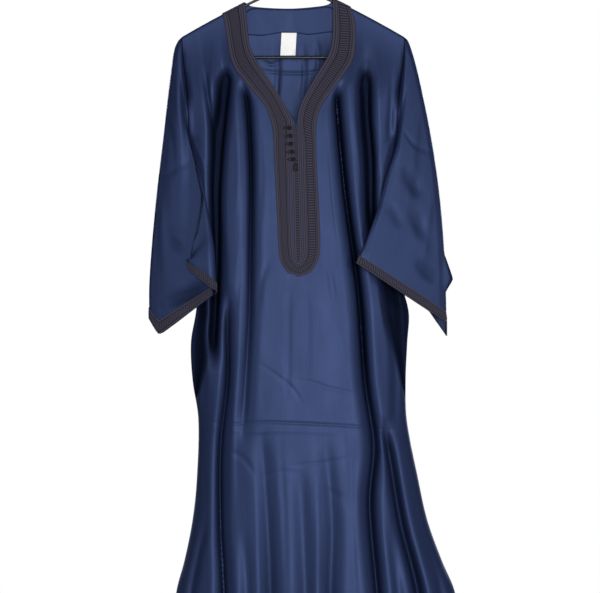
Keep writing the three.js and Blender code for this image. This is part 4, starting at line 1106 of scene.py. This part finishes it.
def make_cuff(name, side, grid, normals, station, rows, yarn):
    """Narrow braid round the sleeve's end, finer than the cloth under it."""
    across = strip_columns(CUFF_STRIPS)
    columns = np.arange(grid.shape[1])
    spine = np.minimum(columns, grid.shape[1] - columns) / FINE
    width = CUFF_WIDTH + (CUFF_FLAP_WIDER * ease((spine - 7.5) / 1.5) if side < 0 else 0)
    at = station[-1] - width * (1 - across[:, None]) * np.ones(grid.shape[1])
    k = np.clip(np.searchsorted(rows, at, side="right") - 1, 0, len(rows) - 2)
    s = ((at - rows[k]) / (rows[k + 1] - rows[k]))[:, :, None]
    base = grid[k, columns] * (1 - s) + grid[k + 1, columns] * s
    out = unit(normals[k, columns] * (1 - s) + normals[k + 1, columns] * s)
    base = finer_loop(base, 5)
    out = unit(finer_loop(out, 5))
    run = np.linalg.norm(np.roll(base, -1, axis=1) - base, axis=2)
    way = np.concatenate([np.zeros((len(run), 1)), np.cumsum(run, axis=1)[:, :-1]], axis=1)
    total = run.sum(axis=1)[:, None]
    way = way / total * np.round(total.mean() / RIB_PITCH) * RIB_PITCH
    height = braid_height(CUFF_STRIPS, np.repeat(across[:, None], way.shape[1], axis=1), way,
                          CUFF_WIDTH, 0.0) * CUFF_FLATTER
    face = base + out * (CUFF_LIFT + height)[:, :, None]
    return shell(f"cuff_braid_cloth_{name}", face, base + out * CUFF_LIFT, -side, yarn,
                 closed=True, relief=(height / CUFF_FLATTER - BAND_THICKNESS) / BAND_THICKNESS)


def finer_loop(grid, times):
    """A closed grid with this many columns in place of each one."""
    count = grid.shape[1]
    at = np.arange(count * times) / times
    k = at.astype(int)
    s = (at - k)[None, :, None]
    return grid[:, k] * (1 - s) + grid[:, (k + 1) % count] * s


# ---- buttons, cord loops, label and facing ----

BRAID_FACE = 2.1


def braid_face_y(x, z):
    cloth = panel_points(FRONT, np.array([x]), np.array([z]), creased=False)
    return float(cloth[0, 1]) - BRAID_FACE


def make_knot(name, x, z, material):
    """A ball wound of cord: strands cross over it in two directions."""
    polar = np.linspace(0.02, np.pi - 0.02, BUTTON_RINGS)[:, None]
    turn = np.linspace(0, 2 * np.pi, BUTTON_SIDES, endpoint=False)[None, :]
    strands = np.maximum(np.cos(3 * turn + 4 * polar), np.cos(3 * turn - 4 * polar))
    radius = BUTTON_RADIUS * (0.93 + 0.09 * strands)
    centre_y = braid_face_y(x, z) - BUTTON_RADIUS * 0.75 - 0.6
    points = np.stack([x + radius * np.sin(polar) * np.cos(turn),
                       centre_y - BUTTON_FLATTER * radius * np.sin(polar) * np.sin(turn),
                       z + radius * np.cos(polar) * np.ones_like(turn)], axis=-1)
    return round_piece(name, points, material, order=(0, 3, 2, 1))


def make_button_cord(name, x, z, material):
    """The loop that takes the button, sewn down on the left band."""
    y = braid_face_y(x, z) - 0.9
    half = np.array([(x - 3.5, y, z + 1.4), (x - 6.5, y, z + 2.0), (x - 10, y + 0.3, z + 1.3),
                     (x - 12, y + 0.5, z), (x - 10, y + 0.3, z - 1.3), (x - 6.5, y, z - 2.0),
                     (x - 3.5, y, z - 1.4)])
    return tube(name, smooth_path(half, 28), 0.75, 8, material)


def make_loop(material):
    turn = np.linspace(0, 2 * np.pi, 40, endpoint=False)
    y = braid_face_y(LOOP["x"], LOOP["z"]) - LOOP["radius"] - 0.6
    path = np.stack([LOOP["x"] + LOOP["half_width"] * np.cos(turn), np.full_like(turn, y),
                     LOOP["z"] + LOOP["half_length"] * np.sin(turn)], axis=1)
    return tube("loop_cord", path, LOOP["radius"], 10, material, closed=True)


def back_layer(x, z, inwards):
    """Points inside the back, a distance in from its outer face."""
    points = panel_points(BACK, x, z, creased=False)
    return points - grid_normals(points, 1.0) * np.asarray(inwards)[..., None]


def make_facing(material):
    top = smooth_path(FACING_TOP, 60)
    bottom = smooth_path(FACING_BOTTOM, 60)
    share = np.linspace(0, 1, 16)[:, None]
    x = top[None, :, 0] * (1 - share) + bottom[None, :, 0] * share
    z = top[None, :, 1] * (1 - share) + bottom[None, :, 1] * share
    face, inner = (back_layer(x, z, np.full_like(x, depth)) for depth in FACING_DEPTHS)
    return shell("facing_cloth", face, inner, 1.0, material)


def make_label(material):
    u = np.linspace(0, 1, 26)[None, :]
    v = np.linspace(0, 1, 40)[:, None]
    x = LABEL["left"] + (LABEL["right"] - LABEL["left"]) * u - LABEL["lean"] * v
    z = LABEL["top"] + (LABEL["bottom"] - LABEL["top"]) * v + 0 * u
    curl = np.clip(u + v - 1.55, 0, 1) / 0.45
    lift = LABEL_DEPTH + 0.4 * np.sin(np.pi * v) + LABEL_CURL * curl ** 2
    face = back_layer(x, z, lift)
    inner = back_layer(x, z, lift + LABEL_THICKNESS)
    return shell("label_tape", face, inner, 1.0, material)


# ---- hanger ----

def arm_height(x):
    return HANGER_APEX_Z - HANGER_SLOPE * x - HANGER_BOW * x * x


def make_hanger(material):
    arm = [(x, arm_height(x)) for x in np.linspace(1.2, 0.96 * HANGER_ARM_END_X, 24)]
    arm += [(HANGER_ARM_END_X, arm_height(HANGER_ARM_END_X)),
            (HANGER_TIP_X, HANGER_BAR_Z + 22), (HANGER_TIP_X - 1, HANGER_BAR_Z + 10),
            (HANGER_TIP_X - 6, HANGER_BAR_Z + 2.2), (202, HANGER_BAR_Z), (198.3, HANGER_BAR_Z)]
    pieces = []
    for side, name in ((-1, "left"), (1, "right")):
        line = smooth_path(arm, 90)
        path = np.stack([side * line[:, 0], 0 * line[:, 0], line[:, 1]], axis=1)
        pieces.append(tube(f"arm_{name}", path, HANGER_ROD_RADIUS, ROD_SIDES, material))
    bar_x = np.linspace(-HANGER_BAR_END_X, HANGER_BAR_END_X, 40)
    bar = np.stack([bar_x, np.zeros_like(bar_x), np.full_like(bar_x, HANGER_BAR_Z)], axis=1)
    pieces.append(tube("bar", bar, HANGER_ROD_RADIUS, ROD_SIDES, material))
    radius = HOOK_INNER_RADIUS + HOOK_ROD_RADIUS
    hook = [(radius * math.cos(math.radians(a)),
             -HOOK_INNER_RADIUS + radius * math.sin(math.radians(a)))
            for a in np.arange(205, -61, -26.5)]
    hook += [(1.5, -50), (0, -58), (0, arm_height(0) + 2.2)]
    line = smooth_path(hook, 90)
    path = np.stack([line[:, 0], 0 * line[:, 0], line[:, 1]], axis=1)
    pieces.append(tube("hook", path, HOOK_ROD_RADIUS, ROD_SIDES, material))
    return pieces


# ---- materials ----

# Painted shade in the depths of the folds: there the satin keeps this share of its colour, and this
# little sheen
DEPTH_SHADE = 0.22
SHEEN = 0.35
SHEEN_IN_PAINTED_SHADE = 0.02
SATIN_ROUGHNESS = (0.42, 0.56)
PLASTIC_ROUGHNESS = (0.28, 0.45)


def new_material(name, base, **inputs):
    material = bpy.data.materials.new(name)
    material.use_nodes = True
    shader = material.node_tree.nodes["Principled BSDF"]
    shader.inputs["Base Color"].default_value = (*base, 1)
    for key, value in inputs.items():
        shader.inputs[key.replace("_", " ").title().replace("Ior", "IOR")].default_value = value
    return material, material.node_tree, shader


def node(tree, kind, **settings):
    made = tree.nodes.new(kind)
    for key, value in settings.items():
        setattr(made, key, value)
    return made


def stretched_uv(tree, scale):
    uv = node(tree, "ShaderNodeUVMap", uv_map="cloth")
    mapping = node(tree, "ShaderNodeMapping")
    mapping.inputs["Scale"].default_value = scale
    tree.links.new(uv.outputs["UV"], mapping.inputs["Vector"])
    return mapping.outputs["Vector"]


def noise(tree, vector, detail=3.0, roughness=0.55):
    made = node(tree, "ShaderNodeTexNoise")
    made.inputs["Scale"].default_value = 1.0
    made.inputs["Detail"].default_value = detail
    made.inputs["Roughness"].default_value = roughness
    tree.links.new(vector, made.inputs["Vector"])
    return made.outputs["Fac"]


def ramp(tree, value, stops):
    made = node(tree, "ShaderNodeValToRGB")
    made.color_ramp.elements[0].position, made.color_ramp.elements[0].color = stops[0]
    made.color_ramp.elements[1].position, made.color_ramp.elements[1].color = stops[-1]
    for position, colour in stops[1:-1]:
        made.color_ramp.elements.new(position).color = colour
    tree.links.new(value, made.inputs["Fac"])
    return made.outputs["Color"]


def map_range(tree, value, low, high):
    """A value that runs from low to high where the given one runs from 0 to 1."""
    made = node(tree, "ShaderNodeMapRange")
    made.inputs["To Min"].default_value = low
    made.inputs["To Max"].default_value = high
    tree.links.new(value, made.inputs["Value"])
    return made.outputs["Result"]


def scaled(tree, colour, share):
    made = node(tree, "ShaderNodeVectorMath", operation="SCALE")
    tree.links.new(colour, made.inputs[0])
    tree.links.new(share, made.inputs["Scale"])
    return made.outputs["Vector"]


def bump(tree, shader, height, strength, distance, below=None):
    made = node(tree, "ShaderNodeBump")
    made.inputs["Strength"].default_value = strength
    made.inputs["Distance"].default_value = distance
    tree.links.new(height, made.inputs["Height"])
    if below is not None:
        tree.links.new(below, made.inputs["Normal"])
    tree.links.new(made.outputs["Normal"], shader.inputs["Normal"])
    return made.outputs["Normal"]


def satin(name, base, lighter):
    """Navy satin: long floats down the cloth, uneven threads and a fine twill of the weave; in the
    depths of its folds it gets painted shade, darker and with less sheen."""
    material, tree, shader = new_material(name, base, roughness=0.5, metallic=0.3,
                                          specular_ior_level=SHEEN, sheen_weight=0.0)
    shader.inputs["Specular Tint"].default_value = (0.42, 0.58, 1.0, 1)
    threads = noise(tree, stretched_uv(tree, (900, 9, 1)), 4.0)
    # painted shade: darker colour and less sheen where the cloth lies deep
    deep = node(tree, "ShaderNodeAttribute", attribute_name="hollow_shade").outputs["Fac"]
    tree.links.new(map_range(tree, deep, SHEEN, SHEEN_IN_PAINTED_SHADE),
                   shader.inputs["Specular IOR Level"])
    colour = ramp(tree, threads, [(0.3, (*base, 1)), (0.7, (*lighter, 1))])
    tree.links.new(scaled(tree, colour, map_range(tree, deep, 1.0, DEPTH_SHADE)),
                   shader.inputs["Base Color"])
    patches = noise(tree, stretched_uv(tree, (26, 11, 1)), 3.0)
    tree.links.new(map_range(tree, patches, *SATIN_ROUGHNESS), shader.inputs["Roughness"])
    weave = node(tree, "ShaderNodeTexWave", wave_type="BANDS", bands_direction="DIAGONAL")
    weave.inputs["Scale"].default_value = 1.0
    tree.links.new(stretched_uv(tree, (420, 160, 1)), weave.inputs["Vector"])
    fine = bump(tree, shader, weave.outputs["Fac"], 0.06, 0.0002)
    bump(tree, shader, noise(tree, stretched_uv(tree, (60, 22, 1)), 2.0), 0.15, 0.001, fine)
    return material


def yarn(name, groove_shade, base, lighter):
    """Matt braid yarn: painted shade in the grooves, and a painted highlight where its strands
    stand up.
    """
    material, tree, shader = new_material(name, base, roughness=0.8, specular_ior_level=0.25,
                                          sheen_weight=0.1)
    fibres = noise(tree, stretched_uv(tree, (1100, 700, 1)), 3.0)
    relief = node(tree, "ShaderNodeAttribute", attribute_name="relief")
    # colour from the braid's height: painted shade in the grooves, painted highlight on the raised
    # strands
    strands = ramp(tree, relief.outputs["Fac"], [(0.05, (*groove_shade, 1)), (0.45, (*base, 1)),
                                                 (0.9, (*lighter, 1))])
    tree.links.new(scaled(tree, strands, map_range(tree, fibres, 0.55, 1.45)),
                   shader.inputs["Base Color"])
    bump(tree, shader, fibres, 0.5, 0.0003)
    return material


def tape(name):
    material, tree, shader = new_material(name, (0.9, 0.9, 0.88), roughness=0.55)
    weave = node(tree, "ShaderNodeTexChecker")
    weave.inputs["Scale"].default_value = 1.0
    tree.links.new(stretched_uv(tree, (2600, 2600, 1)), weave.inputs["Vector"])
    bump(tree, shader, weave.outputs["Fac"], 0.2, 0.0001)
    tree.links.new(ramp(tree, noise(tree, stretched_uv(tree, (40, 40, 1))),
                        [(0.3, (0.86, 0.86, 0.85, 1)), (0.7, (0.95, 0.95, 0.94, 1))]),
                   shader.inputs["Base Color"])
    return material


def plastic(name):
    material, tree, shader = new_material(name, (0.006, 0.006, 0.007), roughness=0.35)
    grain = noise(tree, stretched_uv(tree, (300, 300, 1)), 4.0)
    bump(tree, shader, grain, 0.12, 0.0004)
    tree.links.new(map_range(tree, grain, *PLASTIC_ROUGHNESS), shader.inputs["Roughness"])
    return material


# ---- studio ----

FLOOR_Z = -1.56
FLOOR_RADIUS = 1.35
FLOOR_SIDES = 96
CAMERA_PLACE = (0.0132, -3.4, -0.673)
CAMERA_LENS = 107.9
# name, place, aim, width and power
LIGHTS = [
    ("key", (0.5, -3.2, -0.7), (0, 0, -0.75), 1.4, 59),
    ("high", (-0.1, -3.3, 0.1), (0, 0, -0.5), 0.7, 20),
    ("side_left", (-2.1, -2.0, -0.2), (0, 0, -0.75), 1.0, 12),
    ("side_right", (2.1, -2.0, -0.2), (0, 0, -0.75), 1.0, 18),
    ("back_left", (-1.6, 2.8, -0.2), (0, 0, -0.75), 1.2, 60),
    ("back_right", (1.6, 2.8, -0.2), (0, 0, -0.75), 1.2, 60),
]


def make_floor():
    """A round floor under the robe, which the hanger holds clear of it."""
    turn = np.linspace(0, 2 * np.pi, FLOOR_SIDES, endpoint=False)
    rim = [(FLOOR_RADIUS * math.cos(a), FLOOR_RADIUS * math.sin(a), FLOOR_Z) for a in turn]
    mesh = bpy.data.meshes.new("floor")
    mesh.from_pydata(rim, [], [tuple(range(FLOOR_SIDES))])
    floor = bpy.data.objects.new("floor", mesh)
    bpy.context.scene.collection.objects.link(floor)
    mesh.materials.append(new_material("floor", (0.82, 0.82, 0.82), roughness=0.7)[0])


def make_light(name, place, aim, size, power):
    data = bpy.data.lights.new(name, "AREA")
    data.shape = "DISK"
    data.size = size
    data.energy = power
    light = bpy.data.objects.new(name, data)
    light.location = place
    light.rotation_euler = (Vector(aim) - Vector(place)).to_track_quat("-Z", "Y").to_euler()
    bpy.context.scene.collection.objects.link(light)


def make_studio():
    world = bpy.data.worlds.new("studio")
    bpy.context.scene.world = world
    world.use_nodes = True
    tree = world.node_tree
    lit = tree.nodes["Background"]
    lit.inputs["Color"].default_value = (0.9, 0.94, 1.0, 1)
    lit.inputs["Strength"].default_value = 0.03
    seen = node(tree, "ShaderNodeBackground")
    seen.inputs["Color"].default_value = (1, 1, 1, 1)
    seen.inputs["Strength"].default_value = 1.0
    rays = node(tree, "ShaderNodeLightPath")
    pick = node(tree, "ShaderNodeMixShader")
    tree.links.new(rays.outputs["Is Camera Ray"], pick.inputs["Fac"])
    tree.links.new(lit.outputs["Background"], pick.inputs[1])
    tree.links.new(seen.outputs["Background"], pick.inputs[2])
    tree.links.new(pick.outputs["Shader"], tree.nodes["World Output"].inputs["Surface"])
    for light in LIGHTS:
        make_light(*light)
    bpy.context.scene.view_settings.view_transform = "Standard"


def make_camera():
    data = bpy.data.cameras.new("camera")
    data.lens = CAMERA_LENS
    data.sensor_width = 36
    camera = bpy.data.objects.new("camera", data)
    camera.location = CAMERA_PLACE
    camera.rotation_euler = (math.pi / 2, 0, 0)
    bpy.context.scene.collection.objects.link(camera)
    bpy.context.scene.camera = camera


# ---- the whole part ----


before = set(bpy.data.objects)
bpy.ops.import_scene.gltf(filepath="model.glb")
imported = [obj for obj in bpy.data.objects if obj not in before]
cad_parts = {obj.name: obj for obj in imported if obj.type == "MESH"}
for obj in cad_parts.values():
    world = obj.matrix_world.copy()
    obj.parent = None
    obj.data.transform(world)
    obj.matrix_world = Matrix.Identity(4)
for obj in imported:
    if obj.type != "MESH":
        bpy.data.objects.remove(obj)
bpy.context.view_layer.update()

navy = satin("satin", (0.0185, 0.029, 0.081), (0.024, 0.037, 0.101))
# a darker copy of the satin for the facing inside the neck: painted shade
navy_shaded_inside = satin("satin_inside_shaded", (0.0155, 0.025, 0.071), (0.020, 0.031, 0.087))
# near-black copy of the satin on the inside faces of the sleeves: painted shade inside them
inside_shade = satin("satin_sleeve_inside_shade", (0.004, 0.006, 0.017), (0.006, 0.009, 0.022))
# braid: the painted shade of its grooves, its own colour, and the painted highlight of its raised
# strands
charcoal = yarn("braid_yarn", (0.004, 0.004, 0.008), (0.018, 0.0165, 0.030), (0.046, 0.042, 0.068))
dark_cord = yarn("button_cord", (0.004, 0.004, 0.008), (0.008, 0.008, 0.016),
                 (0.020, 0.019, 0.034))
white_tape = tape("label_tape")
black = plastic("hanger_black")

front, front_points = make_front(navy)
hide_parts("front")
back, back_points = make_back(navy)
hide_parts("back")
for name, stands_for, *shape, sense in BANDS:
    make_band(name, *shape, charcoal, sense)
    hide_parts(stands_for)
for name, side, rings in (("left", -1, SLEEVE_LEFT), ("right", 1, SLEEVE_RIGHT)):
    sleeve, cuff, sleeve_points = make_sleeve(name, side, rings, navy, inside_shade, charcoal)
    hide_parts(f"sleeve_{name}")
    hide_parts(f"cuff_braid_{name}")
for number, (button_x, button_z) in enumerate(BUTTONS, start=1):
    knot = make_knot(f"knot_{number}", button_x, button_z, dark_cord)
    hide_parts(f"button_{number}")
    make_button_cord(f"knot_cord_{number}", button_x, button_z, dark_cord)
loop = make_loop(dark_cord)
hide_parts("button_loop")
facing = make_facing(navy_shaded_inside)
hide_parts("neck_facing")
label = make_label(white_tape)
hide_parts("label")
for rod, stands_for in zip(make_hanger(black),
                           ("hanger_arm_left", "hanger_arm_right", "hanger_bar", "hanger_hook")):
    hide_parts(stands_for)

make_floor()
make_studio()
make_camera()
